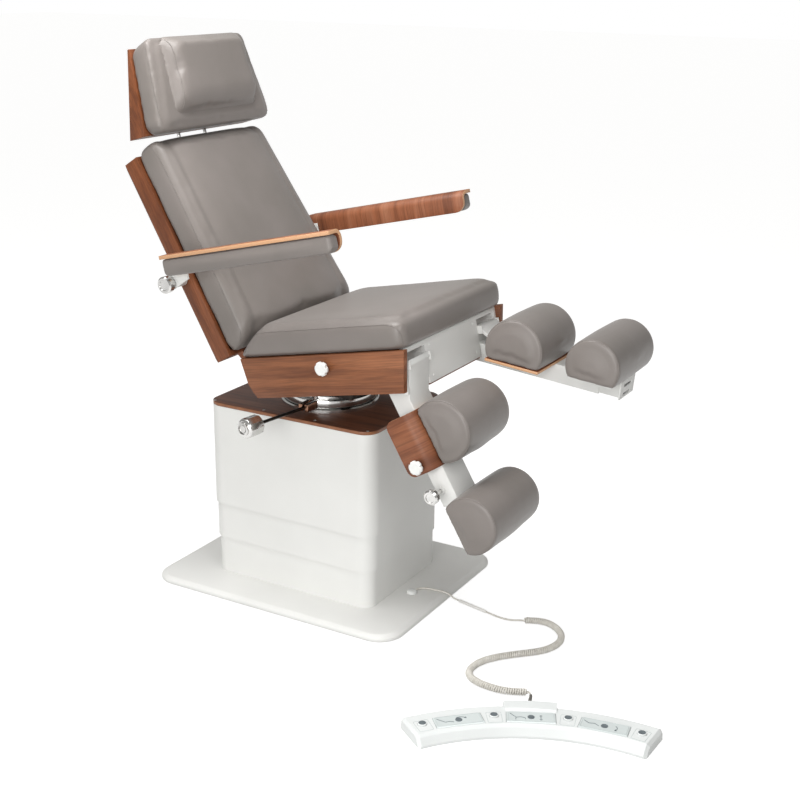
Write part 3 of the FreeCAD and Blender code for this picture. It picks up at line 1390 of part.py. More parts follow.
def pedal_housing():
    """The foot control's housing: a bevelled arc with a raised lug for the cord."""
    body = new_body("pedal_housing")
    profile = [(pedal_inner, ZERO), (pedal_inner, pedal_foot), (pedal_top_inner - pedal_bevel, pedal_shoulder),
               (pedal_top_inner, pedal_tall), (pedal_top_outer, pedal_tall),
               (pedal_outer - pedal_bevel / 3, pedal_shoulder), (pedal_outer, pedal_foot), (pedal_outer, ZERO)]
    arc = sweep_about(body, profile, pedal_span)
    soften(body, arc, pedal_bevel, pedal_end_edge, "PartDesign::Chamfer")
    lug = [(pedal_lug_in, pedal_tall - pedal_bevel), (pedal_lug_in, pedal_tall),
           (pedal_lug_in + pedal_bevel, pedal_lug_top), (pedal_lug_out - pedal_bevel, pedal_lug_top),
           (pedal_lug_out, pedal_shoulder), (pedal_lug_out, ZERO), (pedal_lug_in, ZERO)]
    sweep_about(body, lug, pedal_lug_span)
    run(body, "YZ_Plane", pedal_lug_out - overrun, pedal_socket_out,
        circles=[(ZERO, pedal_socket_rise, pedal_socket_radius)])
    holes = []
    for angle in control_angles(4):
        x, y = around(button_ring, angle)
        holes.append((x, y, button_radius + control_gap))
    run(body, "XY_Plane", control_floor, pedal_lug_top + overrun, circles=holes, cut=True)
    wells = [turned_bar(rocker_ring, angle, rocker_wide / 2 + control_gap, rocker_long / 2 + control_gap)
             for angle in control_angles(3)]
    run(body, "XY_Plane", control_floor, pedal_lug_top + overrun, wells, cut=True)
    reach = rocker_wide / 2 + overrun / 2
    for angle in control_angles(3):
        rocker_axle(body, angle, reach, rocker_pin_radius, "PartDesign::Pad")
    face_pedal(body)


def rocker_axle(body, angle, reach, radius, kind):
    """A pin or a bore along a rocker's own radius of the arc, reach to each side of its middle."""
    sketch = draw(body, "YZ_Plane", ZERO, circles=[(ZERO, rocker_axis, radius)])
    sketch.AttachmentOffset = Placement(Vector(0, 0, 0), Rotation(Vector(0, 1, 0), angle.number))
    start = rocker_ring - reach
    bind(sketch, "AttachmentOffset.Base.x", start * sine(angle))
    bind(sketch, "AttachmentOffset.Base.z", start * cosine(angle))
    bind(sketch, "AttachmentOffset.Rotation.Angle", angle)
    feature = body.newObject(kind, f"{body.Name}Axle")
    feature.Profile = sketch
    bind(feature, "Length", reach * 2)
    if kind == "PartDesign::Pocket":
        feature.Reversed = True
    DOC.recompute()


def pedal_end_edge(edge):
    """True for the top edges of the pedal's two end faces."""
    spot = middle(edge)
    angle = abs(math.degrees(math.atan2(spot.y, spot.x)))
    on_end = abs(angle - pedal_span.number / 2) < 0.05
    return on_end and spot.z > pedal_foot.number + 1


def pedal_button(index, angle):
    body = new_body(f"pedal_button_{index}")
    x, y = around(button_ring, angle)
    pad = run(body, "XY_Plane", button_low, button_top, circles=[(x, y, button_radius)])
    soften(body, pad, button_bevel, lambda edge: middle(edge).z > button_top.number - 1e-3, "PartDesign::Fillet")
    face_pedal(body)


def pedal_rocker(index, angle):
    body = new_body(f"pedal_rocker_{index}")
    pad = run(body, "XY_Plane", rocker_low, rocker_top,
              [turned_bar(rocker_ring, angle, rocker_wide / 2, rocker_long / 2)])
    soften(body, pad, rocker_bevel, lambda edge: middle(edge).z > rocker_top.number - 1e-3, "PartDesign::Chamfer")
    rocker_axle(body, angle, rocker_wide / 2 + overrun, rocker_pin_radius + running_gap, "PartDesign::Pocket")
    face_pedal(body)


def pedal_controls():
    for index, angle in enumerate(control_angles(4)):
        pedal_button(index + 1, angle)
    for index, angle in enumerate(control_angles(3)):
        pedal_rocker(index + 1, angle)


def cable_gland():
    """The low dome where the cord leaves the floor plate."""
    body = new_body("cable_gland")
    turn(body, [(ZERO, ZERO), (gland_radius, ZERO), (gland_radius, gland_tall * 0.35),
                (gland_radius * 0.75, gland_tall * 0.85), (gland_radius * 0.35, gland_tall), (ZERO, gland_tall)],
         role="XZ_Plane")
    bind(body, "Placement.Base.x", gland_x)
    bind(body, "Placement.Base.y", gland_y)
    bind(body, "Placement.Base.z", base_thick)


def laid(points):
    """Route points as drawn, moved along X with the gland and the floor plate's edge."""
    gland, edge = gland_x.number, base_edge.number
    spots = []
    for x, y, z in points:
        if x < DRAWN_EDGE:
            x = edge - (DRAWN_EDGE - x) * (edge - gland) / (DRAWN_EDGE - DRAWN_GLAND)
        else:
            x += edge - DRAWN_EDGE
        spots.append((x, y, z))
    return spots


def cord():
    cord_piece("cord_lead", laid(LEAD_POINTS), cable_across)
    cord_piece("cord_coupler", laid(COUPLER_POINTS), coupler_across)
    cord_piece("cord_tail", laid(TAIL_POINTS), cable_across)
    cord_piece("cord_coil", laid(COIL_POINTS), coil_across)
    cord_piece("pedal_strain_relief", laid(RELIEF_POINTS), relief_across)


def check_and_write():
    """Stops on any failed object, then writes each piece to its own file."""
    DOC.recompute()
    for item in DOC.Objects:
        if "Invalid" in item.State or "Error" in item.State:
            raise ValueError(f"{item.Name} failed: {item.State}")
    os.makedirs("parts", exist_ok=True)
    for item in PIECES:
        shape = item.Shape
        if shape.isNull() or not shape.isValid():
            raise ValueError(f"{item.Label} has no valid shape")
        shape.exportStep(f"parts/{item.Label}.step")
    print(len(PIECES), "pieces")


def main():
    base_plate()
    lower_shroud()
    mid_shroud()
    upper_shroud()
    top_plate()
    lift_tubes()
    swivel_flange()
    turntable()
    clamp_ring()
    clamp_lever()
    tilt_cradle()
    seat_pan()
    seat_front_panel()
    seat_frame()
    seat_cushion()
    seat_knob()
    back_shell()
    back_cushion()
    head_rods()
    head_shell()
    head_cushion()
    head_pillow()
    for side, name in ((-1, "right"), (1, "left")):
        arm(side, name)
    leg(-1, "right", right_leg_angle, calf_right_start, foot_right_start)
    leg(1, "left", left_leg_angle, calf_left_start, foot_left_start)
    cable_gland()
    cord()
    pedal_housing()
    pedal_controls()
    check_and_write()


main()
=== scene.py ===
import bpy
import math
from mathutils import Matrix, Vector
from mathutils.bvhtree import BVHTree


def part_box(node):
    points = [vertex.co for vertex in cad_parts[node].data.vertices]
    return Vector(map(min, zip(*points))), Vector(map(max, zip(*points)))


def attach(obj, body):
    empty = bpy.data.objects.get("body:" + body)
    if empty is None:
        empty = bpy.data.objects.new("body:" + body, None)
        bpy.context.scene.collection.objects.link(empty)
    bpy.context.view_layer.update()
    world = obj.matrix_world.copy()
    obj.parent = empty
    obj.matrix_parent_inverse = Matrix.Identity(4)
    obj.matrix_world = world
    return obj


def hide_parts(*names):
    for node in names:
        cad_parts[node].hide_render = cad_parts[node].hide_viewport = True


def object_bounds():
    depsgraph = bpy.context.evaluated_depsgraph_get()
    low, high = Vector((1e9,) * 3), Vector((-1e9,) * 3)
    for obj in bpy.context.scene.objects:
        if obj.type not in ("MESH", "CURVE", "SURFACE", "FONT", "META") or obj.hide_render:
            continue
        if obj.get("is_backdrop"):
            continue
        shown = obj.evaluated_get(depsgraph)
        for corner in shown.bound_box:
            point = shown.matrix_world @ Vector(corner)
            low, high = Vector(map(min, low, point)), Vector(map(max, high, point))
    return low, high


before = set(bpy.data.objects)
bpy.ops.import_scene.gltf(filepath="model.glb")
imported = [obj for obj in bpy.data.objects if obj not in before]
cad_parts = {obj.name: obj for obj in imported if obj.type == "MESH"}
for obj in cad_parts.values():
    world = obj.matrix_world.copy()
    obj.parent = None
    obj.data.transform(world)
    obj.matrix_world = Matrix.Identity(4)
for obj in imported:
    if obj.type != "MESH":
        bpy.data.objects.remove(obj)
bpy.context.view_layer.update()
scene = bpy.context.scene

# Viewpoint and studio. The camera stands in front of the chair on the sitter's right, a little
# above the seat, with a moderate long lens. The floor is pale paper, and the light comes from
# large soft boxes.
azimuth, elevation, roll = math.radians(29.75), math.radians(18.19), math.radians(0.61)
aim = Vector((0.2266, 0, 0.5666))
distance = 3.670
back_way = Vector((math.sin(azimuth) * math.cos(elevation), -math.cos(azimuth) * math.cos(elevation),
                   math.sin(elevation)))
level_right = Vector((math.cos(azimuth), math.sin(azimuth), 0))
level_up = back_way.cross(level_right)
right_way = level_right * math.cos(roll) + level_up * math.sin(roll)
up_way = level_up * math.cos(roll) - level_right * math.sin(roll)
turned = Matrix((right_way, up_way, back_way)).transposed().to_4x4()
bpy.ops.object.camera_add()
camera = bpy.context.object
camera.matrix_world = Matrix.Translation(aim + back_way * distance) @ turned
camera.data.sensor_width = 36
camera.data.lens = 36 * 1341.4 / 800
camera.data.clip_start, camera.data.clip_end = 0.1, 60
scene.camera = camera
scene.view_settings.view_transform = "Standard"


def linear(colour):
    """An sRGB hex value as the linear colour that a shader takes."""
    parts = [int(colour[place:place + 2], 16) / 255 for place in (1, 3, 5)]
    parts = [part / 12.92 if part <= 0.04045 else ((part + 0.055) / 1.055) ** 2.4 for part in parts]
    return parts + [1.0]


def add_node(tree, kind, links=None, ramp=None, **settings):
    """Adds a node with its settings. A link is a number, a colour or another node's socket."""
    node = tree.nodes.new(kind)
    for key, value in settings.items():
        setattr(node, key, value)
    for key, value in (links or {}).items():
        if isinstance(value, bpy.types.NodeSocket):
            tree.links.new(value, node.inputs[key])
        else:
            node.inputs[key].default_value = value
    if ramp:
        steps = node.color_ramp.elements
        while len(steps) < len(ramp):
            steps.new(0.5)
        for step, (place, colour) in zip(steps, ramp):
            step.position = place
            step.color = linear(colour)
    return node


def new_finish(name, **sockets):
    """A material with its shader's plain numbers and colours set."""
    finish = bpy.data.materials.new(name)
    finish.use_nodes = True
    shader = finish.node_tree.nodes["Principled BSDF"]
    for key, value in sockets.items():
        shader.inputs[key.replace("_", " ")].default_value = value
    return finish, finish.node_tree, shader


bpy.ops.mesh.primitive_plane_add(size=60, location=(0, 0, -0.0006))
floor = bpy.context.object
floor.name = "studio_floor"
# Matt paper sweep: it shows near white to the lens and to polished metal, and keeps the shadow.
sweep, tree, shader = new_finish("matt_paper_sweep", Base_Color=linear("#b4b4b3"), Roughness=0.9)
ray = add_node(tree, "ShaderNodeLightPath").outputs
seen = add_node(tree, "ShaderNodeMath", {0: ray["Is Camera Ray"], 1: ray["Is Glossy Ray"]},
                operation="MAXIMUM")
glow = add_node(tree, "ShaderNodeEmission", {"Color": linear("#ffffff"), "Strength": 0.78})
both = add_node(tree, "ShaderNodeAddShader", {0: shader.outputs[0], 1: glow.outputs[0]})
mixed = add_node(tree, "ShaderNodeMixShader", {0: seen.outputs[0], 1: shader.outputs[0],
                                               2: both.outputs[0]})
tree.links.new(mixed.outputs[0], tree.nodes["Material Output"].inputs["Surface"])
floor.data.materials.append(sweep)
floor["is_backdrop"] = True

studio = bpy.data.worlds.new("studio_air")
studio.use_nodes = True
scene.world = studio
tree = studio.node_tree
air = tree.nodes["Background"]
air.inputs["Color"].default_value = linear("#f6f5f3")
air.inputs["Strength"].default_value = 0.45
white = add_node(tree, "ShaderNodeBackground", {"Color": linear("#ffffff"), "Strength": 1.0})
ray = add_node(tree, "ShaderNodeLightPath").outputs
seen = add_node(tree, "ShaderNodeMath", {0: ray["Is Camera Ray"], 1: ray["Is Transmission Ray"]},
                operation="MAXIMUM")
mixed = add_node(tree, "ShaderNodeMixShader", {0: seen.outputs[0], 1: air.outputs[0], 2: white.outputs[0]})
tree.links.new(mixed.outputs[0], tree.nodes["World Output"].inputs["Surface"])

soft_boxes = (("key_box", (0.9, -4.1, 1.25), 2.2, 84), ("top_box", (-0.7, -0.2, 3.5), 2.4, 44),
              ("head_box", (-0.05, -0.5, 2.15), 0.8, 15), ("floor_box", (1.3, -1.0, 1.5), 0.7, 7))
for label, place, size, watts in soft_boxes:
    bpy.ops.object.light_add(type="AREA", location=place)
    lamp = bpy.context.object
    lamp.name = label
    lamp.data.size = size
    lamp.data.energy = watts
    lamp.rotation_euler = (Vector((0.2, 0, 0.55)) - Vector(place)).to_track_quat("-Z", "Y").to_euler()

# Cord of the foot control. A thin PVC lead leaves the gland on the floor plate, a moulded sleeve
# couples it to the curly cord, and a ribbed rubber sleeve guards it at the control's socket. It
# lies loose on the floor.
lead_spots = [(0.2962, -0.0269, 0.0212), (0.301, -0.010, 0.0216), (0.317, 0.002, 0.0213),
              (0.345, 0.005, 0.0212), (0.370, 0.007, 0.0216), (0.389, 0.0085, 0.0174),
              (0.399, 0.0104, 0.0086), (0.4113, 0.0115, 0.005), (0.422, 0.009, 0.005)]
sleeve_spots = [(0.422, 0.009, 0.005), (0.511, -0.012, 0.005)]
tail_spots = [(0.511, -0.012, 0.005), (0.5266, -0.0157, 0.005), (0.548, -0.0195, 0.0036),
              (0.576, -0.023, 0.0038), (0.600, -0.024, 0.007), (0.6179, -0.0201, 0.0102)]
curl_spots = [(0.629, -0.013, 0.0102), (0.664, 0.007, 0.0102), (0.706, 0.004, 0.0102),
              (0.746, -0.028, 0.0102), (0.763, -0.070, 0.0102), (0.758, -0.112, 0.0102),
              (0.738, -0.149, 0.0102), (0.698, -0.187, 0.0102), (0.660, -0.226, 0.0102),
              (0.632, -0.268, 0.0102), (0.622, -0.312, 0.0102), (0.630, -0.346, 0.0102),
              (0.652, -0.366, 0.0102), (0.690, -0.377, 0.0102), (0.736, -0.377, 0.0102),
              (0.765, -0.367, 0.0102), (0.796, -0.3507, 0.0102)]
relief_spots = [(0.785, -0.3565, 0.0102), (0.79899, -0.34916, 0.0102), (0.811, -0.362, 0.011),
                (0.8187, -0.3892, 0.0116), (0.8258, -0.4036, 0.0116)]
cable_thick, sleeve_thick, curl_radius, curl_pitch = 0.0052, 0.009, 0.0071, 0.0058


def route_line(label, spots, thick):
    """A free line through its control points, as thick as the cable."""
    line = bpy.data.curves.new(label, "CURVE")
    line.dimensions = "3D"
    spline = line.splines.new("NURBS")
    spline.points.add(len(spots) - 1)
    for point, spot in zip(spline.points, spots):
        point.co = (*spot, 1)
    spline.order_u = 3
    spline.use_endpoint_u = True
    line.bevel_depth = thick / 2
    line.bevel_resolution = 3
    line.use_fill_caps = True
    piece = bpy.data.objects.new(label, line)
    scene.collection.objects.link(piece)
    return piece


def read_line(label, spots):
    """The points of a route's own spline, one after the other."""
    plain = route_line(label, spots, 0)
    bpy.context.view_layer.update()
    mesh = bpy.data.meshes.new_from_object(plain.evaluated_get(bpy.context.evaluated_depsgraph_get()))
    points = [vertex.co.copy() for vertex in mesh.vertices]
    bpy.data.objects.remove(plain)
    bpy.data.meshes.remove(mesh)
    return points


def spaced(points, step):
    """Points at equal steps along a line, both ends kept, and its length."""
    reach = [0.0]
    for before, after in zip(points, points[1:]):
        reach.append(reach[-1] + (after - before).length)
    count = max(2, round(reach[-1] / step))
    out, at = [], 0
    for index in range(count + 1):
        wanted = reach[-1] * index / count
        while at < len(reach) - 2 and reach[at + 1] < wanted:
            at += 1
        share = (wanted - reach[at]) / max(reach[at + 1] - reach[at], 1e-9)
        out.append(points[at].lerp(points[at + 1], min(share, 1.0)))
    return out, reach[-1]


def hold(piece):
    """Makes one piece the selected and active one."""
    bpy.ops.object.select_all(action="DESELECT")
    bpy.context.view_layer.objects.active = piece
    piece.select_set(True)


def pick(piece, kind, wanted):
    """Leaves the held piece in edit mode with only its wanted faces or edges selected."""
    bpy.ops.object.mode_set(mode="EDIT")
    bpy.ops.mesh.select_mode(type=kind)
    bpy.ops.mesh.select_all(action="DESELECT")
    bpy.ops.object.mode_set(mode="OBJECT")
    for part in piece.data.polygons if kind == "FACE" else piece.data.edges:
        part.select = wanted(part)
    bpy.ops.object.mode_set(mode="EDIT")


def modify(piece, kind, **settings):
    """Adds a modifier to the held piece and applies it."""
    change = piece.modifiers.new(kind.lower(), kind)
    for key, value in settings.items():
        setattr(change, key, value)
    bpy.ops.object.modifier_apply(modifier=change.name)


def mottled(name, dark, light, scale, detail, drawn=None, rough=None, **sockets):
    """A finish whose tone, and with rough also its gloss, drifts in soft clouds. drawn stretches
    the clouds along the axis where its number is small."""
    finish, tree, shader = new_finish(name, **sockets)
    place = add_node(tree, "ShaderNodeTexCoord").outputs["Object"]
    spot = place
    if drawn:
        spot = add_node(tree, "ShaderNodeMapping", {"Vector": place, "Scale": drawn}).outputs["Vector"]
    cloud = add_node(tree, "ShaderNodeTexNoise", {"Vector": spot, "Scale": scale, "Detail": detail})
    drift = cloud.outputs["Fac"]
    tint = add_node(tree, "ShaderNodeValToRGB", {"Fac": drift}, ramp=[(0.3, dark), (0.7, light)])
    tree.links.new(tint.outputs["Color"], shader.inputs["Base Color"])
    if rough:
        gloss = add_node(tree, "ShaderNodeMapRange", {"Value": drift, "To Min": rough[0], "To Max": rough[1]})
        tree.links.new(gloss.outputs["Result"], shader.inputs["Roughness"])
    return finish, tree, shader, place


# Soft PVC cable cover: matt from the mould, with dust-grey in its surface.
cable_pvc = mottled("soft_pvc_cable", "#cfcbc2", "#e0ddd6", 90, 3, Roughness=0.5, IOR=1.52)[0]
lead = route_line("cord_lead_cable", lead_spots, cable_thick)
lead.data.materials.append(cable_pvc)

sleeve_start, sleeve_end = Vector(sleeve_spots[0]), Vector(sleeve_spots[1])
sleeve_way = sleeve_end - sleeve_start
bpy.ops.object.select_all(action="DESELECT")
bpy.ops.mesh.primitive_cylinder_add(vertices=24, radius=sleeve_thick / 2, depth=sleeve_way.length,
                                    location=(sleeve_start + sleeve_end) / 2,
                                    rotation=sleeve_way.to_track_quat("Z", "Y").to_euler())
sleeve = bpy.context.object
sleeve.name = "cord_sleeve"
bpy.ops.object.transform_apply(location=True, rotation=True, scale=True)
pick(sleeve, "FACE", lambda face: abs(face.normal.dot(sleeve_way.normalized())) > 0.9)
bpy.ops.mesh.inset(thickness=0.0012, depth=0.004, use_individual=True)
bpy.ops.object.mode_set(mode="OBJECT")
modify(sleeve, "BEVEL", width=0.0008, segments=2, limit_method="ANGLE")
bpy.ops.object.shade_smooth_by_angle(angle=math.radians(35))
# Moulded PVC sleeve: harder and glossier than the cable, with a very fine grain from its mould.
sleeve_pvc, tree, shader = new_finish("moulded_pvc_sleeve", Base_Color=linear("#efeeea"), Roughness=0.38,
                                      IOR=1.52)
place = add_node(tree, "ShaderNodeTexCoord").outputs["Object"]
grain = add_node(tree, "ShaderNodeTexNoise", {"Vector": place, "Scale": 300, "Detail": 2})
skin = add_node(tree, "ShaderNodeBump", {"Height": grain.outputs["Fac"], "Strength": 0.15,
                                         "Distance": 0.0004})
tree.links.new(skin.outputs["Normal"], shader.inputs["Normal"])
sleeve.data.materials.append(sleeve_pvc)

upright = Vector((0, 0, 1))
curl_route, curl_long = spaced(read_line("curl_route", curl_spots), 0.0006)
turn_steps = 12
curl_steps = round(curl_long / curl_pitch * turn_steps)
curls = []
for index in range(curl_steps + 1):
    at = min(int(len(curl_route) * index / (curl_steps + 1)), len(curl_route) - 2)
    way = (curl_route[min(at + 8, len(curl_route) - 1)] - curl_route[max(at - 8, 0)]).normalized()
    side_way = way.cross(upright).normalized()
    angle = 2 * math.pi * index / turn_steps - math.pi / 2
    grown = min(1.0, index / turn_steps + 0.15, (curl_steps - index) / turn_steps + 0.15)
    out_way = side_way * math.cos(angle) + upright * math.sin(angle)
    curls.append(tuple(curl_route[at] + out_way * curl_radius * grown))
curly_spots = tail_spots + curls + relief_spots[1:]
curly = route_line("cord_curly_cable", curly_spots, cable_thick)
curly.data.resolution_u = 2
curly.data.bevel_resolution = 1
curly.data.materials.append(cable_pvc)
curly_long = spaced(read_line("curly_measure", curly_spots), 0.001)[1]

# The strain relief is turned about the cable's own line, a rib to every four steps, and it grows
# from 7 mm at its tip to 10 mm at the socket.
relief_line = spaced(read_line("relief_route", relief_spots), 0.0011)[0]
relief_line = relief_line[len(relief_line) * 2 // 5:]
around = 20
vertices = []
for index, spot in enumerate(relief_line):
    way = (relief_line[min(index + 1, len(relief_line) - 1)] - relief_line[max(index - 1, 0)]).normalized()
    side_way = way.cross(upright).normalized()
    over_way = side_way.cross(way)
    share = index / (len(relief_line) - 1)
    radius = (0.0036 + 0.0016 * share) * (1.0 if index % 4 in (0, 1) else 0.86)
    for step in range(around):
        angle = 2 * math.pi * step / around
        vertices.append(tuple(spot + (side_way * math.cos(angle) + over_way * math.sin(angle)) * radius))
last_row = (len(relief_line) - 1) * around
faces = [tuple(range(around))[::-1], tuple(range(last_row, last_row + around))]
for row in range(0, last_row, around):
    for step in range(around):
        following = (step + 1) % around
        faces.append((row + step, row + following, row + around + following, row + around + step))
mesh = bpy.data.meshes.new("strain_relief")
mesh.from_pydata(vertices, [], faces)
relief = bpy.data.objects.new("strain_relief", mesh)
scene.collection.objects.link(relief)
hold(relief)
bpy.ops.object.mode_set(mode="EDIT")
bpy.ops.mesh.select_all(action="SELECT")
bpy.ops.mesh.normals_make_consistent(inside=False)
bpy.ops.object.mode_set(mode="OBJECT")
bpy.ops.object.shade_smooth_by_angle(angle=math.radians(40))
# Ribbed rubber: matt and dark grey, with a little bloom.
relief_rubber = mottled("ribbed_rubber", "#57544f", "#75716b", 240, 4, Roughness=0.62, IOR=1.5)[0]
relief.data.materials.append(relief_rubber)

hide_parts("cord_lead")
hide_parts("cord_coupler")
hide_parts("cord_tail", "cord_coil")
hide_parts("pedal_strain_relief")
for piece, slot in ((lead, "cord_plastic"), (sleeve, "cord_plastic"), (curly, "cord_plastic"),
                    (relief, "relief_rubber")):
    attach(piece, "base")
lead_long = spaced(read_line("lead_measure", lead_spots), 0.001)[1]

# Floor plate: a pressed steel plate with wide corners, whose rim rolls down to the floor. It is
# welded under the column and powder coated.
# Satin powder coat, baked on sheet steel: a warm white with faint clouds and a fine orange peel.
# The peel is about 2 mm across and is drawn at 5 mm so that it shows.
powder_coat, tree, shader, place = mottled("satin_powder_coat", "#e0e0dd", "#e7e7e4", 3.5, 4,
                                           rough=(0.36, 0.48), Roughness=0.42, IOR=1.5)
peel = add_node(tree, "ShaderNodeTexNoise", {"Vector": place, "Scale": 1 / 0.005, "Detail": 2})
skin = add_node(tree, "ShaderNodeBump", {"Height": peel.outputs["Fac"], "Strength": 0.08, "Distance": 0.0005})
tree.links.new(skin.outputs["Normal"], shader.inputs["Normal"])
bpy.ops.object.select_all(action="DESELECT")
bpy.ops.mesh.primitive_cube_add(size=1)
plate = bpy.context.object
plate.name = "floor_plate"
plate.data.transform(Matrix.Translation((-0.0151, 0, 0.009)) @ Matrix.Diagonal((0.7976, 0.636, 0.018, 1)))


def upright_edge(edge):
    """True for the plate's four upright corner edges."""
    first, last = (plate.data.vertices[index].co for index in edge.vertices)
    return abs(first.z - last.z) > 0.01


pick(plate, "EDGE", upright_edge)
bpy.ops.mesh.bevel(offset=0.072, segments=14, affect="EDGES")
pick(plate, "FACE", lambda face: face.normal.z > 0.9)
bpy.ops.mesh.inset(thickness=0.014, depth=0)
bpy.ops.object.mode_set(mode="OBJECT")
level_part = {index for face in plate.data.polygons if face.select for index in face.vertices}
for vertex in plate.data.vertices:
    if vertex.co.z > 0.01 and vertex.index not in level_part:
        vertex.co.z = 0.010
bpy.ops.object.mode_set(mode="EDIT")
bpy.ops.mesh.select_all(action="SELECT")
bpy.ops.mesh.remove_doubles(threshold=1e-6)
bpy.ops.mesh.normals_make_consistent(inside=False)
bpy.ops.object.mode_set(mode="OBJECT")
modify(plate, "BEVEL", width=0.003, segments=3, limit_method="ANGLE", angle_limit=math.radians(20))
bpy.ops.object.shade_smooth_by_angle(angle=math.radians(32))
plate.data.materials.append(powder_coat)
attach(plate, "base")
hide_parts("base_plate")


def dress(finish, *nodes):
    """Gives CAD nodes their finish."""
    for node in nodes:
        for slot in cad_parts[node].material_slots:
            slot.material = finish


# Lifting tubes and covers: cold drawn square tubes inside, and three powder-coated sheet steel
# covers round them, which slide inside one another as the column lifts.
# Brushed steel: clear and silky, with its fine scratches drawn up the tubes.
brushed_steel = mottled("brushed_steel", "#a9a8a6", "#c6c5c3", 1, 4, drawn=(300, 300, 12),
                        rough=(0.24, 0.38), Metallic=1.0, Roughness=0.3)[0]
dress(brushed_steel, "lift_outer_tube", "lift_mid_tube", "lift_inner_tube")
dress(powder_coat, "lower_shroud", "mid_shroud", "upper_shroud")

# Gland: a small dome pressed into the floor plate, where the foot control's lead comes out. The
# star knobs of the seat and the calf saddles are moulded of the same nylon.
# Glossy moulded nylon: cool white, with a clear highlight.
white_nylon = mottled("glossy_moulded_nylon", "#e4e5e3", "#ecedeb", 60, 3, Roughness=0.24, IOR=1.53)[0]
dress(white_nylon, "cable_gland", "seat_knob", "right_calf_knob", "left_calf_knob")

# Lid board on the column: 9 mm plywood, stained dark and lacquered on its face, with its
# orange-brown edge showing all round. It is screwed down near its rim.


def refine(label, node, body, finishes, second=None, ease_off=0.0008, rounding=None, radius=0.0,
           cut=None):
    """Works a CAD piece over: joins its triangles, cuts it off at a plane, rounds the edges that
    rounding picks, gives the faces that second picks their own finish and eases every corner."""
    piece = bpy.data.objects.new(label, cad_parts[node].data.copy())
    scene.collection.objects.link(piece)
    hold(piece)
    bpy.ops.object.mode_set(mode="EDIT")
    bpy.ops.mesh.select_all(action="SELECT")
    bpy.ops.mesh.remove_doubles(threshold=1e-5)
    bpy.ops.mesh.dissolve_limited(angle_limit=math.radians(0.6))
    if cut:
        bpy.ops.mesh.bisect(plane_co=cut[0], plane_no=cut[1], use_fill=True, clear_outer=True)
    if rounding:
        pick(piece, "EDGE", lambda edge: rounding(*(piece.data.vertices[end].co for end in edge.vertices)))
        bpy.ops.mesh.bevel(offset=radius, segments=7, affect="EDGES")
    bpy.ops.object.mode_set(mode="OBJECT")
    piece.data.materials.clear()
    for finish in finishes:
        piece.data.materials.append(finish)
    for face in piece.data.polygons:
        face.material_index = 1 if second and second(face.center, face.normal) else 0
    modify(piece, "BEVEL", width=ease_off, segments=2, limit_method="ANGLE", angle_limit=math.radians(40),
           use_clamp_overlap=True)
    bpy.ops.object.shade_smooth_by_angle(angle=math.radians(32))
    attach(piece, body)
    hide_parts(node)


def wood(label, lying, ramp, rings_at=(2.2, 34, 34), pores_at=(14, 330, 330), rough=0.46):
    """Sliced veneer under satin lacquer. Its rings are 30 mm apart and drawn out to half a metre
    along the grain, and its 0.4 mm pores are drawn at 3 mm so that they show."""
    finish, tree, shader = new_finish(label, IOR=1.42)
    place = add_node(tree, "ShaderNodeTexCoord").outputs["Object"]
    laid = add_node(tree, "ShaderNodeMapping", {"Vector": place, "Rotation": lying}).outputs["Vector"]
    drawn = add_node(tree, "ShaderNodeMapping", {"Vector": laid, "Scale": rings_at})
    rings = add_node(tree, "ShaderNodeTexNoise", {"Vector": drawn.outputs["Vector"], "Scale": 1.0,
                                                  "Detail": 5, "Roughness": 0.55, "Distortion": 0.7})
    tint = add_node(tree, "ShaderNodeValToRGB", {"Fac": rings.outputs["Fac"]}, ramp=ramp)
    drawn = add_node(tree, "ShaderNodeMapping", {"Vector": laid, "Scale": pores_at})
    fine = add_node(tree, "ShaderNodeTexNoise", {"Vector": drawn.outputs["Vector"], "Scale": 1.0,
                                                 "Detail": 3})
    pores = fine.outputs["Fac"]
    dark = add_node(tree, "ShaderNodeMapRange", {"Value": pores, "From Min": 0.35, "From Max": 0.6,
                                                 "To Min": 0.72, "To Max": 1.0})
    mixed = add_node(tree, "ShaderNodeMix", {"Factor": 1.0, 6: tint.outputs["Color"],
                                             7: dark.outputs["Result"]},
                     data_type="RGBA", blend_type="MULTIPLY")
    tree.links.new(mixed.outputs[2], shader.inputs["Base Color"])
    sheen = add_node(tree, "ShaderNodeMapRange", {"Value": pores, "To Min": rough + 0.08,
                                                  "To Max": rough - 0.06})
    tree.links.new(sheen.outputs["Result"], shader.inputs["Roughness"])
    skin = add_node(tree, "ShaderNodeBump", {"Height": pores, "Strength": 0.12, "Distance": 0.0005})
    tree.links.new(skin.outputs["Normal"], shader.inputs["Normal"])
    return finish


# Stained and lacquered board: dark brown, with the figure just showing through the stain.
stained_board = wood("stained_lacquered_board", (0, 0, 0),
                     [(0.3, "#533121"), (0.5, "#6d412c"), (0.72, "#84553c")], rough=0.42)
# The board's lacquered edge: warmer and lighter than its face, cloudy where the end grain drank.
lid_edge = mottled("lacquered_board_edge", "#7a4b30", "#93603f", 45, 4, Roughness=0.42, IOR=1.5)[0]
refine("lid_board", "top_plate", "column", (stained_board, lid_edge),
       lambda spot, way: abs(way.z) < 0.7, 0.0012)

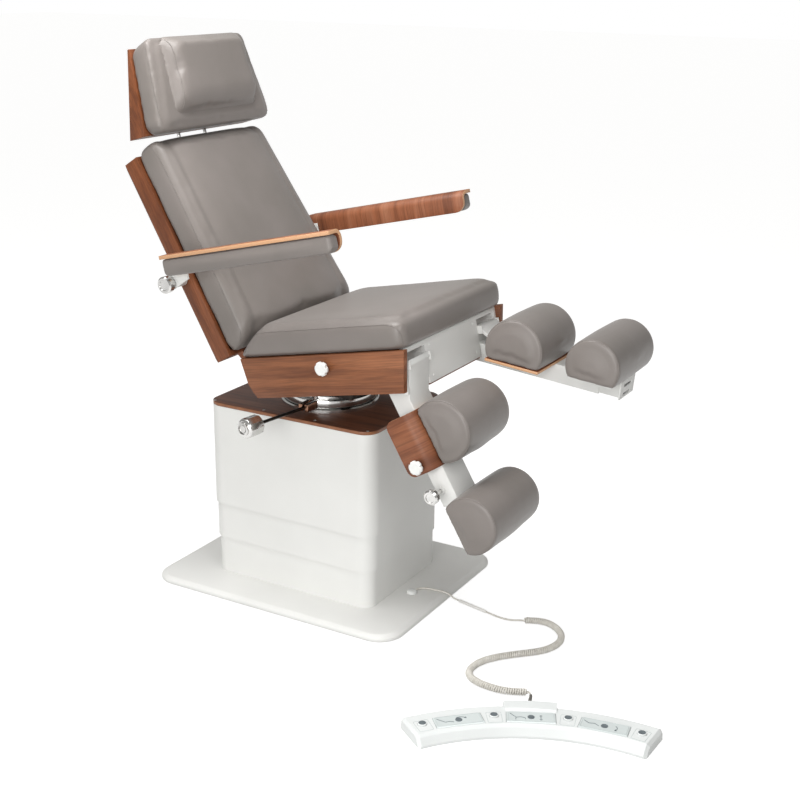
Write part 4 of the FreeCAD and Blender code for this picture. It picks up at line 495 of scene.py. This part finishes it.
# Screws: raised countersunk heads with a hexagon socket. Eight zinc plated ones hold the lid near
# its rim, and four that are coated over with the steel hold the front panel.
# Bright zinc plating: a cool metal, a little cloudy.
bright_zinc = mottled("bright_zinc_plating", "#b9bab8", "#d5d6d4", 400, 2, Metallic=1.0, Roughness=0.3)[0]
bpy.ops.object.select_all(action="DESELECT")
bpy.ops.mesh.primitive_cylinder_add(vertices=24, radius=0.0038, depth=0.0012, location=(0, 0, 0.0006))
first_screw = bpy.context.object
first_screw.name = "screw_head"
bpy.ops.object.transform_apply(location=True, rotation=True, scale=True)
pick(first_screw, "FACE", lambda face: face.normal.z > 0.9)
bpy.ops.mesh.inset(thickness=0.0012, depth=0.0005)
bpy.ops.mesh.inset(thickness=0.0008, depth=0)
bpy.ops.mesh.inset(thickness=0.0001, depth=-0.0012)
bpy.ops.object.mode_set(mode="OBJECT")
bpy.ops.object.shade_smooth_by_angle(angle=math.radians(35))
first_screw.data.materials.append(bright_zinc)


def screw(label, place, body, finish):
    """A copy of the screw, set at a place with its head along that place's Z."""
    copy = first_screw.copy()
    copy.data = first_screw.data.copy()
    copy.name = label
    scene.collection.objects.link(copy)
    copy.data.transform(place)
    copy.data.materials[0] = finish
    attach(copy, body)


lid_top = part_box("top_plate")[1].z
number = 0
for x in (-0.262, -0.096, 0.071, 0.237):
    for y in (-0.187, 0.187):
        number += 1
        sunk = Matrix.Translation((x, y, lid_top - 0.0006))
        screw(f"lid_screw_{number}", sunk, "column", bright_zinc)

# Swivel: a turned and polished flange and drum on the lid with a split ring that clamps them, the
# lever that tightens it, and the blackened cradle that holds the seat's tilt pin.
# Polished turned steel: near mirror bright, a little uneven from the lathe. The knobs of the arm
# and leg rests and the head rest's rods are finished alike.
polished_steel = mottled("polished_turned_steel", "#c4c3c1", "#dad9d7", 26, 5, rough=(0.12, 0.24),
                         Metallic=1.0, Roughness=0.16)[0]
dress(polished_steel, "swivel_flange", "turntable", "head_rods", "right_arm_knob", "left_arm_knob",
      "right_leg_knob", "left_leg_knob")
# Blackened steel: a thin oil-dark skin with a low satin gloss.
black_steel = mottled("blackened_steel", "#2a2624", "#45403c", 60, 4, Metallic=1.0, Roughness=0.4)[0]
dress(black_steel, "tilt_cradle")
refine("lever_and_knob", "clamp_lever", "lever", (black_steel, polished_steel),
       lambda spot, way: spot.y < -0.3385, 0.0006)
lever_turn = math.radians(9)
lever_way = Vector((-math.sin(lever_turn), -math.cos(lever_turn), 0))
spots = [vertex.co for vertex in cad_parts["clamp_lever"].data.vertices]
reach = max(spot.dot(lever_way) for spot in spots)
ends = [spot for spot in spots if spot.dot(lever_way) > reach - 0.0005]
knob_end = sum(ends, Vector()) / len(ends)
bpy.ops.object.select_all(action="DESELECT")
bpy.ops.mesh.primitive_cylinder_add(vertices=40, radius=0.0185, depth=0.006)
knob_cap = bpy.context.object
knob_cap.name = "lever_knob_cap"
knob_cap.data.transform(Matrix.Translation(knob_end + lever_way * 0.001)
                        @ lever_way.to_track_quat("Z", "Y").to_matrix().to_4x4())
pick(knob_cap, "FACE", lambda face: face.normal.dot(lever_way) > 0.9)
bpy.ops.mesh.inset(thickness=0.0045, depth=0.001)
bpy.ops.mesh.inset(thickness=0.0006, depth=-0.004)
bpy.ops.mesh.inset(thickness=0.003, depth=0)
bpy.ops.mesh.inset(thickness=0.001, depth=0.002)
bpy.ops.object.mode_set(mode="OBJECT")
bpy.ops.object.shade_smooth_by_angle(angle=math.radians(30))
knob_cap.data.materials.append(polished_steel)
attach(knob_cap, "lever")
# Bronzed steel: warm and dark beside the polished drum. Only the split ring's lug has it.
bronzed_steel = mottled("bronzed_steel", "#8a6450", "#b08a74", 50, 4, Metallic=1.0, Roughness=0.28)[0]
refine("split_ring", "clamp_ring", "swivel", (polished_steel, bronzed_steel),
       lambda spot, way: spot.y < -0.1315, 0.0006)

# Seat tray: walnut veneered boards mitred at their corners and lacquered, on a white steel frame.
# A white steel panel closes its front behind the leg hinges, over a walnut strip.
seat_lean = math.radians(11.28)
seat_high = 0.7219
seat_place = Matrix.Translation((0, 0, seat_high)) @ Matrix.Rotation(-seat_lean, 4, "Y")
# Walnut, sliced across a wide board: mid brown with long dark streaks along the side boards.
seat_walnut = wood("seat_walnut_veneer", (0, seat_lean, 0),
                   [(0.28, "#643820"), (0.5, "#824e2f"), (0.74, "#9b6341")])
refine("seat_tray", "seat_pan", "seat", (seat_walnut,), ease_off=0.0012)
refine("front_cover", "seat_front_panel", "seat", (powder_coat,), ease_off=0.0009)
dress(powder_coat, "seat_frame")
bpy.ops.object.select_all(action="DESELECT")
bpy.ops.mesh.primitive_cube_add(size=1)
strip = bpy.context.object
strip.name = "front_walnut_strip"
strip.data.transform(seat_place @ Matrix.Translation((0.360, 0, -0.1193))
                     @ Matrix.Diagonal((0.040, 0.286, 0.0044, 1)))
modify(strip, "BEVEL", width=0.0012, segments=3)
bpy.ops.object.shade_smooth_by_angle(angle=math.radians(35))
strip.data.materials.append(seat_walnut)
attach(strip, "seat")
number = 0
for y in (-0.122, 0.122):
    for z in (-0.020, -0.100):
        number += 1
        facing = seat_place @ Matrix.Translation((0.3834, y, z)) @ Matrix.Rotation(math.pi / 2, 4, "Y")
        screw(f"front_screw_{number}", facing, "seat", powder_coat)
bpy.data.objects.remove(first_screw)

# Back tray and head wedge: boxes of the same walnut boards, closed at the back. The back turns on
# a hinge behind the seat, and the head rest slides on two rods.
back_hinge = Matrix.Translation((-0.18851, 0, 0.67268))
back_place = back_hinge @ Matrix.Rotation(-math.radians(32.70), 4, "Y")
head_place = back_hinge @ Matrix.Rotation(-math.radians(16.40), 4, "Y")
# Walnut from a redder slice, with the grain up the back.
back_walnut = wood("back_walnut_veneer", (0, math.radians(32.70 + 90), 0),
                   [(0.28, "#59301c"), (0.5, "#764326"), (0.74, "#8c5436")])
refine("back_tray", "back_shell", "back", (back_walnut,), ease_off=0.0012)
refine("head_wedge", "head_shell", "head", (back_walnut,), ease_off=0.0012)

# Seat cushion: foam under a top that wraps over the front, with a boxed side panel sewn in along
# each side.
# Smooth synthetic leather: taupe with a soft sheen, a little wavy where the foam pulls it. Its
# leather grain is about 1 mm and is drawn at 3 mm so that it shows.
leather, tree, shader, place = mottled("smooth_synthetic_leather", "#746e69", "#807975", 5, 5,
                                       rough=(0.34, 0.44), IOR=1.48, Sheen_Weight=0.12, Sheen_Roughness=0.4)
pebble = add_node(tree, "ShaderNodeTexVoronoi", {"Vector": place, "Scale": 1 / 0.003})
wave = add_node(tree, "ShaderNodeTexNoise", {"Vector": place, "Scale": 9, "Detail": 2})
pull = add_node(tree, "ShaderNodeBump", {"Height": wave.outputs["Fac"], "Strength": 0.25, "Distance": 0.004})
skin = add_node(tree, "ShaderNodeBump", {"Height": pebble.outputs["Distance"], "Strength": 0.14,
                                         "Distance": 0.0006, "Normal": pull.outputs["Normal"]})
tree.links.new(skin.outputs["Normal"], shader.inputs["Normal"])


def swell(label, node, body, place, low, high, slack, cap, voxel=0.0065, shape=None, trim=None,
          evening=8):
    """Sews a cover round a pad's solid, blows it up and lays it back on what carries it.

    low and high are the corners of the room it may fill, in its own frame. shape changes the cut
    of the cover before it is filled, and trim its places afterwards. A higher evening takes more
    of the creases out and rounds the edges further."""
    inward = place.inverted()
    pad = bpy.data.objects.new(label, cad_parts[node].data.copy())
    scene.collection.objects.link(pad)
    hold(pad)
    bpy.ops.object.mode_set(mode="EDIT")
    bpy.ops.mesh.select_all(action="SELECT")
    bpy.ops.mesh.remove_doubles(threshold=1e-5)
    bpy.ops.object.mode_set(mode="OBJECT")
    if shape:
        for vertex in pad.data.vertices:
            vertex.co = place @ shape(inward @ vertex.co)
    modify(pad, "REMESH", mode="VOXEL", voxel_size=voxel)
    modify(pad, "SMOOTH", factor=0.5, iterations=evening)
    outlines = [(vertex.co.copy(), vertex.normal.copy()) for vertex in pad.data.vertices]
    for vertex, (spot, out) in zip(pad.data.vertices, outlines):
        vertex.co = spot - out * slack
    cover = pad.modifiers.new("cover", "CLOTH")
    cover.settings.use_pressure = True
    cover.settings.uniform_pressure_force = 4.0
    cover.settings.effector_weights.gravity = 0
    for moment in range(1, 21):
        scene.frame_set(moment)
    bpy.ops.object.modifier_apply(modifier=cover.name)
    scene.frame_set(1)
    for vertex, (spot, out) in zip(pad.data.vertices, outlines):
        moved = vertex.co - spot
        swelling = moved.dot(out)
        slide = (moved - out * swelling) * 0.3
        if slide.length > 0.003:
            slide *= 0.003 / slide.length
        vertex.co = spot + out * min(max(swelling, -0.0008), cap) + slide
    modify(pad, "SMOOTH", factor=0.5, iterations=evening)
    for vertex in pad.data.vertices:
        spot = inward @ vertex.co
        spot = Vector([min(max(spot[axis], low[axis]), high[axis]) for axis in range(3)])
        vertex.co = place @ (trim(spot) if trim else spot)
    modify(pad, "SUBSURF", levels=1, render_levels=1)
    bpy.ops.object.shade_smooth()
    pad.data.materials.clear()
    pad.data.materials.append(leather)
    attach(pad, body)
    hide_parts(node)
    return pad


def seam(label, pad, body, spots, thick=0.0011):
    """A stitched seam that follows a pad's skin, as a fine welt."""
    spots = spaced([Vector(spot) for spot in spots], 0.006)[0]
    skin_tree = BVHTree.FromObject(pad, bpy.context.evaluated_depsgraph_get())
    laid = []
    for spot in spots:
        on_skin, way, index, far = skin_tree.find_nearest(spot)
        laid.append(on_skin + way * thick * 0.4)
    for smoothing in range(2):
        evened = [(before + at * 2 + after) / 4 for before, at, after in zip(laid, laid[1:], laid[2:])]
        laid = [laid[0]] + evened + [laid[-1]]
    welt = route_line(label, laid, thick * 2)
    welt.data.bevel_resolution = 1
    welt.data.resolution_u = 2
    hold(welt)
    bpy.ops.object.convert(target="MESH")
    welt = bpy.context.object
    bpy.ops.object.shade_smooth()
    welt.data.materials.append(leather)
    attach(welt, body)


seat_pad = swell("seat_upholstery", "seat_cushion", "seat", seat_place, (-0.131, -0.284, 0.0002),
                 (0.414, 0.284, 0.087), 0.004, 0.008, voxel=0.0075)
rim = [(-0.088, 0.040), (-0.062, 0.062), (-0.045, 0.067), (0.10, 0.068), (0.25, 0.068), (0.360, 0.067),
       (0.388, 0.058), (0.400, 0.040), (0.404, 0.010)]
for side, name in ((-1, "right"), (1, "left")):
    seam(f"seat_seam_{name}", seat_pad, "seat", [seat_place @ Vector((x, 0.274 * side, z)) for x, z in rim])

# Back cushion: thicker foam, drawn round the tray's rim, with a boxed panel sewn in along both
# sides.
cushion_foot = 0.0593


def back_crown(spot):
    """Carries the back's front over to its side seams in one round sweep."""
    share = min(abs(spot.y) / (0.2746 - 0.0593 * spot.z), 1)
    chamfer = 1 - 0.42 * max(share - 0.8, 0) / 0.2
    sweep = min((1 - 0.42 * share ** 5) / chamfer, 1)
    return Vector((cushion_foot + (spot.x - cushion_foot) * sweep, spot.y, spot.z))


back_pad = swell("back_upholstery", "back_cushion", "back", back_place, (cushion_foot, -0.280, -0.010),
                 (0.164, 0.280, 0.609), 0.004, 0.009, voxel=0.0075, trim=back_crown)
rim = [(0.108, 0.014, 0.273), (0.124, 0.040, 0.270), (0.128, 0.20, 0.260), (0.128, 0.40, 0.248),
       (0.127, 0.55, 0.238), (0.118, 0.588, 0.233), (0.098, 0.602, 0.231)]
for side, name in ((-1, "right"), (1, "left")):
    seam(f"back_seam_{name}", back_pad, "back", [back_place @ Vector((x, y * side, z)) for x, z, y in rim])

# Head cushion and its pillow: one boxed pad on the wedge, and a loose filled pillow that slopes
# away towards the neck.
head_pad = swell("head_upholstery", "head_cushion", "head", head_place, (-0.063, -0.256, 0.618),
                 (0.014, 0.256, 0.880), 0.003, 0.006, voxel=0.0065)


def pillow_cut(spot):
    """The pillow's cover is wide at its back, and its boxed sides draw in to a flat front."""
    share = (spot.x - 0.008) / 0.017
    return Vector((0.008 + 0.036 * share, spot.y * (1.13 - 0.15 * share),
                   0.7655 + (spot.z - 0.7547) * (1.08 - 0.14 * share)))


pillow_pad = swell("head_pillow_cover", "head_pillow", "head", head_place, (0.004, -0.196, 0.648),
                   (0.056, 0.196, 0.884), 0.003, 0.007, voxel=0.006, shape=pillow_cut)
head_rim = [(0.0, 0.640), (0.004, 0.70), (0.004, 0.76), (0.004, 0.82), (0.0, 0.866)]
pillow_rim = [(0.030, 0.668), (0.043, 0.682), (0.045, 0.72), (0.045, 0.78), (0.045, 0.83), (0.043, 0.853),
              (0.028, 0.868)]
for side, name in ((-1, "right"), (1, "left")):
    seam(f"head_seam_{name}", head_pad, "head",
         [head_place @ Vector((x, 0.236 * side, z)) for x, z in head_rim])
    seam(f"pillow_seam_{name}", pillow_pad, "head",
         [head_place @ Vector((x, 0.164 * side, z)) for x, z in pillow_rim])

# Arm rests: bent plywood with walnut outer veneer and a bare pale edge, and a leather pad wrapped
# under it. Each swings up on the bracket's pivot and is clamped by a knurled knob.
arm_pivot = (-0.211 * math.cos(seat_lean) - 0.304 * math.sin(seat_lean), 0,
             seat_high - 0.211 * math.sin(seat_lean) + 0.304 * math.cos(seat_lean))
arm_fall = math.radians(13.14)
arm_place = Matrix.Translation(arm_pivot) @ Matrix.Rotation(-arm_fall, 4, "Y")
arm_back = arm_place.inverted()


def bare_edge(label, lying, thick):
    """The cut edge of birch ply under clear lacquer: pale layers as thick as the real veneers."""
    finish, tree, shader = new_finish(label, Roughness=0.46, IOR=1.5)
    place = add_node(tree, "ShaderNodeTexCoord").outputs["Object"]
    laid = add_node(tree, "ShaderNodeMapping", {"Vector": place, "Rotation": lying})
    layers = add_node(tree, "ShaderNodeTexWave", {"Vector": laid.outputs["Vector"], "Scale": 0.31 / thick,
                                                  "Distortion": 0.6, "Detail": 2, "Detail Scale": 3},
                      wave_type="BANDS", bands_direction="Z")
    tint = add_node(tree, "ShaderNodeValToRGB", {"Fac": layers.outputs["Fac"]},
                    ramp=[(0.1, "#b9835a"), (0.5, "#cfa078"), (0.9, "#dcb48e")])
    tree.links.new(tint.outputs["Color"], shader.inputs["Base Color"])
    return finish


# Walnut laid across the arm rests: lighter, with its streaks standing upright on their sides.
arm_walnut = wood("arm_walnut_veneer", (0, arm_fall, 0),
                  [(0.28, "#6f3e26"), (0.5, "#92583a"), (0.74, "#b0785a")], (22, 2, 2), (260, 9, 9))
arm_edge = bare_edge("arm_ply_edge", (0, arm_fall, 0), 0.002)


def arm_cut(spot, way):
    """True on the cut edges of an arm rest's plywood."""
    local, facing = arm_back @ spot, arm_back.to_3x3() @ way
    outer_rim = abs(facing.y) > 0.7 and abs(local.y) > 0.369
    return abs(facing.x) > 0.7 or outer_rim or (facing.z < -0.7 and local.z < -0.05)


def arm_toe(first, last):
    """True for the edge across the lower front corner of an arm rest's wall."""
    first, last = arm_back @ first, arm_back @ last
    return min(first.x, last.x) > 0.515 and max(first.z, last.z) < -0.0575


def pad_toe(spot):
    """The pad ends level with the ply and rises in a curve at its toe."""
    spot.x = -0.023 + (spot.x + 0.023) * 0.959
    past = spot.x - 0.486
    if past > 0:
        spot.z = max(spot.z, -0.031 - math.sqrt(max(0.029 ** 2 - past ** 2, 0)))
    return spot


bracket_front = (arm_place @ Vector((0.014, 0, 0)), arm_place.to_3x3() @ Vector((1, 0, 0)))
for side, name in ((-1, "right"), (1, "left")):
    arm = f"{name}_arm"
    refine(f"{arm}_bent_ply", f"{arm}_shell", arm, (arm_walnut, arm_edge), arm_cut, 0.0009, arm_toe,
           0.03)
    refine(f"{arm}_carrier", f"{arm}_bracket", arm, (powder_coat,), ease_off=0.0008,
           cut=bracket_front)
    low = (-0.026, 0.3284 if side > 0 else -0.3735, -0.062)
    high = (0.541, 0.3735 if side > 0 else -0.3284, -0.0102)
    swell(f"{arm}_leather", f"{arm}_pad", arm, arm_place, low, high, 0.002, 0.0042, voxel=0.0045,
          trim=pad_toe, evening=3)

# Leg rests: white box tubes hinged to the seat frame. On each, a bent walnut ply saddle with the
# round calf cushion slides and is clamped by a star knob, and an inner tube carries the round
# foot cushion. The end panels of the cushions are sewn in with a welt.
leg_pivot = (0.387 * math.cos(seat_lean) + 0.0434 * math.sin(seat_lean), 0,
             seat_high + 0.387 * math.sin(seat_lean) - 0.0434 * math.cos(seat_lean))
for side, name, drop, calf_start, foot_start in ((-1, "right", 59.1, 0.111, 0.358),
                                                 (1, "left", 5.74, 0.083, 0.301)):
    leg_fall = math.radians(drop)
    leg_place = Matrix.Translation(leg_pivot) @ Matrix.Rotation(leg_fall, 4, "Y")
    leg_back = leg_place.inverted()
    refine(f"{name}_leg_beam", f"{name}_leg_tube", f"{name}_leg", (powder_coat,),
           ease_off=0.0008)
    refine(f"{name}_foot_beam", f"{name}_foot_tube", f"{name}_foot", (powder_coat,),
           ease_off=0.0006)
    # Walnut laid across the saddle, with its streaks running down the outer wall.
    saddle_walnut = wood(f"{name}_saddle_walnut_veneer", (0, -leg_fall, 0),
                         [(0.28, "#663a24"), (0.5, "#834e33"), (0.74, "#9c6646")], (20, 2, 2), (240, 9, 9))
    saddle_edge = bare_edge(f"{name}_saddle_ply_edge", (0, -leg_fall, 0), 0.0018)

    def saddle_cut(spot, way):
        """True on the cut edges of a calf saddle's plywood."""
        local, facing = leg_back @ spot, leg_back.to_3x3() @ way
        inner_rim = abs(facing.y) > 0.7 and abs(local.y) < 0.035
        return abs(facing.x) > 0.7 or inner_rim or (facing.z < -0.7 and local.z < -0.1)

    def saddle_toe(first, last):
        """True for the edges across the two lower corners of a saddle's wall."""
        first, last = leg_back @ first, leg_back @ last
        return abs(first.x - last.x) < 0.001 and max(first.z, last.z) < -0.117

    refine(f"{name}_calf_bent_ply", f"{name}_calf_shell", f"{name}_calf", (saddle_walnut, saddle_edge),
           saddle_cut, 0.0008, saddle_toe, 0.022)
    for part, start, chord, radius, rest, inner, outer in (
            ("calf", calf_start, 0.149, 0.0835, 0.0304, 0.029, 0.260),
            ("foot", foot_start, 0.1264, 0.076, 0.0374, 0.066, 0.328)):
        limb = f"{name}_{part}"
        ends = sorted((inner * side, outer * side))
        low = (start - 0.02, ends[0] - 0.004, -rest + 0.0002)
        high = (start + chord + 0.02, ends[1] + 0.004, 0.16)
        roll_pad = swell(f"{limb}_upholstery", f"{limb}_cushion", limb, leg_place, low, high, 0.003, 0.003,
                         voxel=0.005, evening=3)
        rise = math.sqrt(radius * radius - chord * chord / 4)
        below = math.asin(rise / radius)
        for y, mark in ((side * (inner + 0.004), "inner"), (side * (outer - 0.004), "outer")):
            spots = []
            for step in range(25):
                angle = -below + (math.pi + 2 * below) * step / 24
                spots.append(leg_place @ Vector((start + chord / 2 + (radius - 0.001) * math.cos(angle), y,
                                                 rise - rest + (radius - 0.001) * math.sin(angle))))
            seam(f"{limb}_seam_{mark}", roll_pad, limb, spots, thick=0.0012)

# Foot control: a moulded ABS housing with four rubber buttons and three rocking plates under clear
# covers. Its icons are printed lines, and round each button and plate the shade of a fine groove is painted
# as a grey line.
pedal_place = Matrix.Translation((1.1207, -1.003, 0)) @ Matrix.Rotation(math.radians(116.2), 4, "Z")
button_turns = (-25.425, -8.475, 8.475, 25.425)
# Fine-grained ABS: cool white, with a grit of about 1 mm that is drawn at 2 mm so that it shows.
moulded_abs, tree, shader, place = mottled("fine_grained_abs", "#dcdfde", "#e3e6e5", 8, 3, Roughness=0.42,
                                           IOR=1.53)
grit = add_node(tree, "ShaderNodeTexNoise", {"Vector": place, "Scale": 1 / 0.002, "Detail": 2})
skin = add_node(tree, "ShaderNodeBump", {"Height": grit.outputs["Fac"], "Strength": 0.12, "Distance": 0.0004})
tree.links.new(skin.outputs["Normal"], shader.inputs["Normal"])
dress(moulded_abs, "pedal_housing")
# ABS under a clear cover: greyer, with a sharp second highlight.
rocker_abs = mottled("clear_covered_abs", "#ccd3d2", "#d4dbda", 12, 3, Roughness=0.22, IOR=1.5,
                     Coat_Weight=0.4, Coat_Roughness=0.1)[0]
dress(rocker_abs, "pedal_rocker_1", "pedal_rocker_2", "pedal_rocker_3")
# Button rubber: matt blue-grey.
button_rubber = mottled("matt_button_rubber", "#586064", "#6b7478", 120, 3, Roughness=0.55, IOR=1.5)[0]
for index, turn in enumerate(button_turns, 1):
    middle = pedal_place @ Matrix.Rotation(math.radians(turn), 4, "Z") @ Vector((0.588, 0, 0))
    refine(f"foot_button_{index}", f"pedal_button_{index}", f"button_{index}",
           (button_rubber, moulded_abs),
           lambda spot, way: math.hypot(spot.x - middle.x, spot.y - middle.y) > 0.0086, 0.0002)


def stroke(label, lines, place, body, finish, thick):
    """Fine lines on a flat top, one spline to a line. A line that ends where it starts closes."""
    drawn = bpy.data.curves.new(label, "CURVE")
    drawn.dimensions = "3D"
    drawn.bevel_depth, drawn.bevel_resolution, drawn.use_fill_caps = thick / 2, 1, True
    for line in lines:
        closed = line[0] == line[-1]
        line = line[:-1] if closed else line
        spline = drawn.splines.new("POLY")
        spline.points.add(len(line) - 1)
        spline.use_cyclic_u = closed
        for point, (right, up) in zip(spline.points, line):
            point.co = (*(place @ Vector((up / 1000, -right / 1000, 0))), 1)
    piece = bpy.data.objects.new(label, drawn)
    scene.collection.objects.link(piece)
    hold(piece)
    bpy.ops.object.convert(target="MESH")
    piece = bpy.context.object
    piece.data.materials.append(finish)
    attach(piece, body)


def arc(centre_right, centre_up, radius, start, end):
    """Points of an arc in degrees, and the two barbs of an arrow head at its end."""
    steps = [math.radians(start + (end - start) * step / 10) for step in range(11)]
    line = [(centre_right + radius * math.cos(a), centre_up + radius * math.sin(a)) for a in steps]
    turn = math.copysign(1, end - start)
    tip, way = line[-1], steps[-1] + turn * math.pi / 2
    barbs = [(tip[0] - 5 * math.cos(way + lean), tip[1] - 5 * math.sin(way + lean)) for lean in (0.6, -0.6)]
    return [line, [barbs[0], tip, barbs[1]]]


# Painted shade of a fine groove, drawn as a grey line where the groove's shade falls, and the printed ink of
# the icons: grey and flat.
painted_groove_shade = mottled("painted_groove_shade_line", "#a9b3b2", "#bcc5c4", 40, 2, Roughness=0.5, IOR=1.5)[0]
printed_ink = mottled("printed_ink", "#5d686c", "#6d787c", 500, 2, Roughness=0.5, IOR=1.5)[0]
# Icon lines in millimetres right and up from the rocker's middle: a leg, a seat and a back, each
# with the arrow of its own motion.
leg_icon = [[(-50, 9), (-36, 0)], [(-36, 0), (-24, 3), (-13, -4)]] + arc(18, -2, 12, 55, -50)
lift_icon = [[(-49, 14), (-35, -3), (-24, -1), (-14, -4), (-13, -9)], [(-35, -3), (-36, -12)],
             [(23, 8), (23, -12)], [(20, 5), (23, 8), (26, 5)], [(20, -9), (23, -12), (26, -9)]]
back_icon = [[(-50, 12), (-33, -4)], [(-33, -4), (-22, -3), (-13, -7)]] + arc(5, -8, 19, 120, 40)
# Outlines of the painted groove shade round each rocking plate and each button, in millimetres right and up
# from their middles.
rocker_groove_shade_outline = [(-53.5, -17), (-51, -19.5), (51, -19.5), (53.5, -17), (53.5, 17), (51, 19.5), (-51, 19.5),
              (-53.5, 17), (-53.5, -17)]
button_groove_shade_outline = [(-17, -20), (-15, -22), (15, -22), (17, -20), (18, 20), (16, 22), (-16, 22), (-18, 20),
              (-17, -20)]
for index, turn, icon in ((1, -16.95, leg_icon), (2, 0, lift_icon), (3, 16.95, back_icon)):
    rocker = f"rocker_{index}"
    spot = pedal_place @ Matrix.Rotation(math.radians(turn), 4, "Z") @ Matrix.Translation((0.578, 0, 0.0321))
    stroke(f"rocker_icon_{index}", icon, spot, rocker, printed_ink, 0.0016)
    # A grey line of painted groove shade round the plate.
    stroke(f"rocker_groove_shade_outline_{index}", [rocker_groove_shade_outline], spot, rocker, painted_groove_shade, 0.0009)
    bpy.ops.object.select_all(action="DESELECT")
    bpy.ops.mesh.primitive_cylinder_add(vertices=36, radius=0.0082, depth=0.0016)
    dot = bpy.context.object
    dot.name = f"rocker_dot_{index}"
    pick(dot, "FACE", lambda face: face.normal.z > 0.9)
    bpy.ops.mesh.inset(thickness=0.0008, depth=0.0005)
    bpy.ops.mesh.inset(thickness=0.0035, depth=-0.0005)
    bpy.ops.object.mode_set(mode="OBJECT")
    bpy.ops.object.shade_smooth_by_angle(angle=math.radians(35))
    dot.data.transform(spot)
    dot.data.materials.append(button_rubber)
    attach(dot, rocker)
for index, turn in enumerate(button_turns, 1):
    spot = pedal_place @ Matrix.Rotation(math.radians(turn), 4, "Z") @ Matrix.Translation((0.580, 0, 0.0300))
    # A grey line of painted groove shade round each button.
    stroke(f"button_groove_shade_outline_{index}", [button_groove_shade_outline], spot, "base", painted_groove_shade, 0.0009)

# Measures of the finished model, for the builder.
low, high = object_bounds()
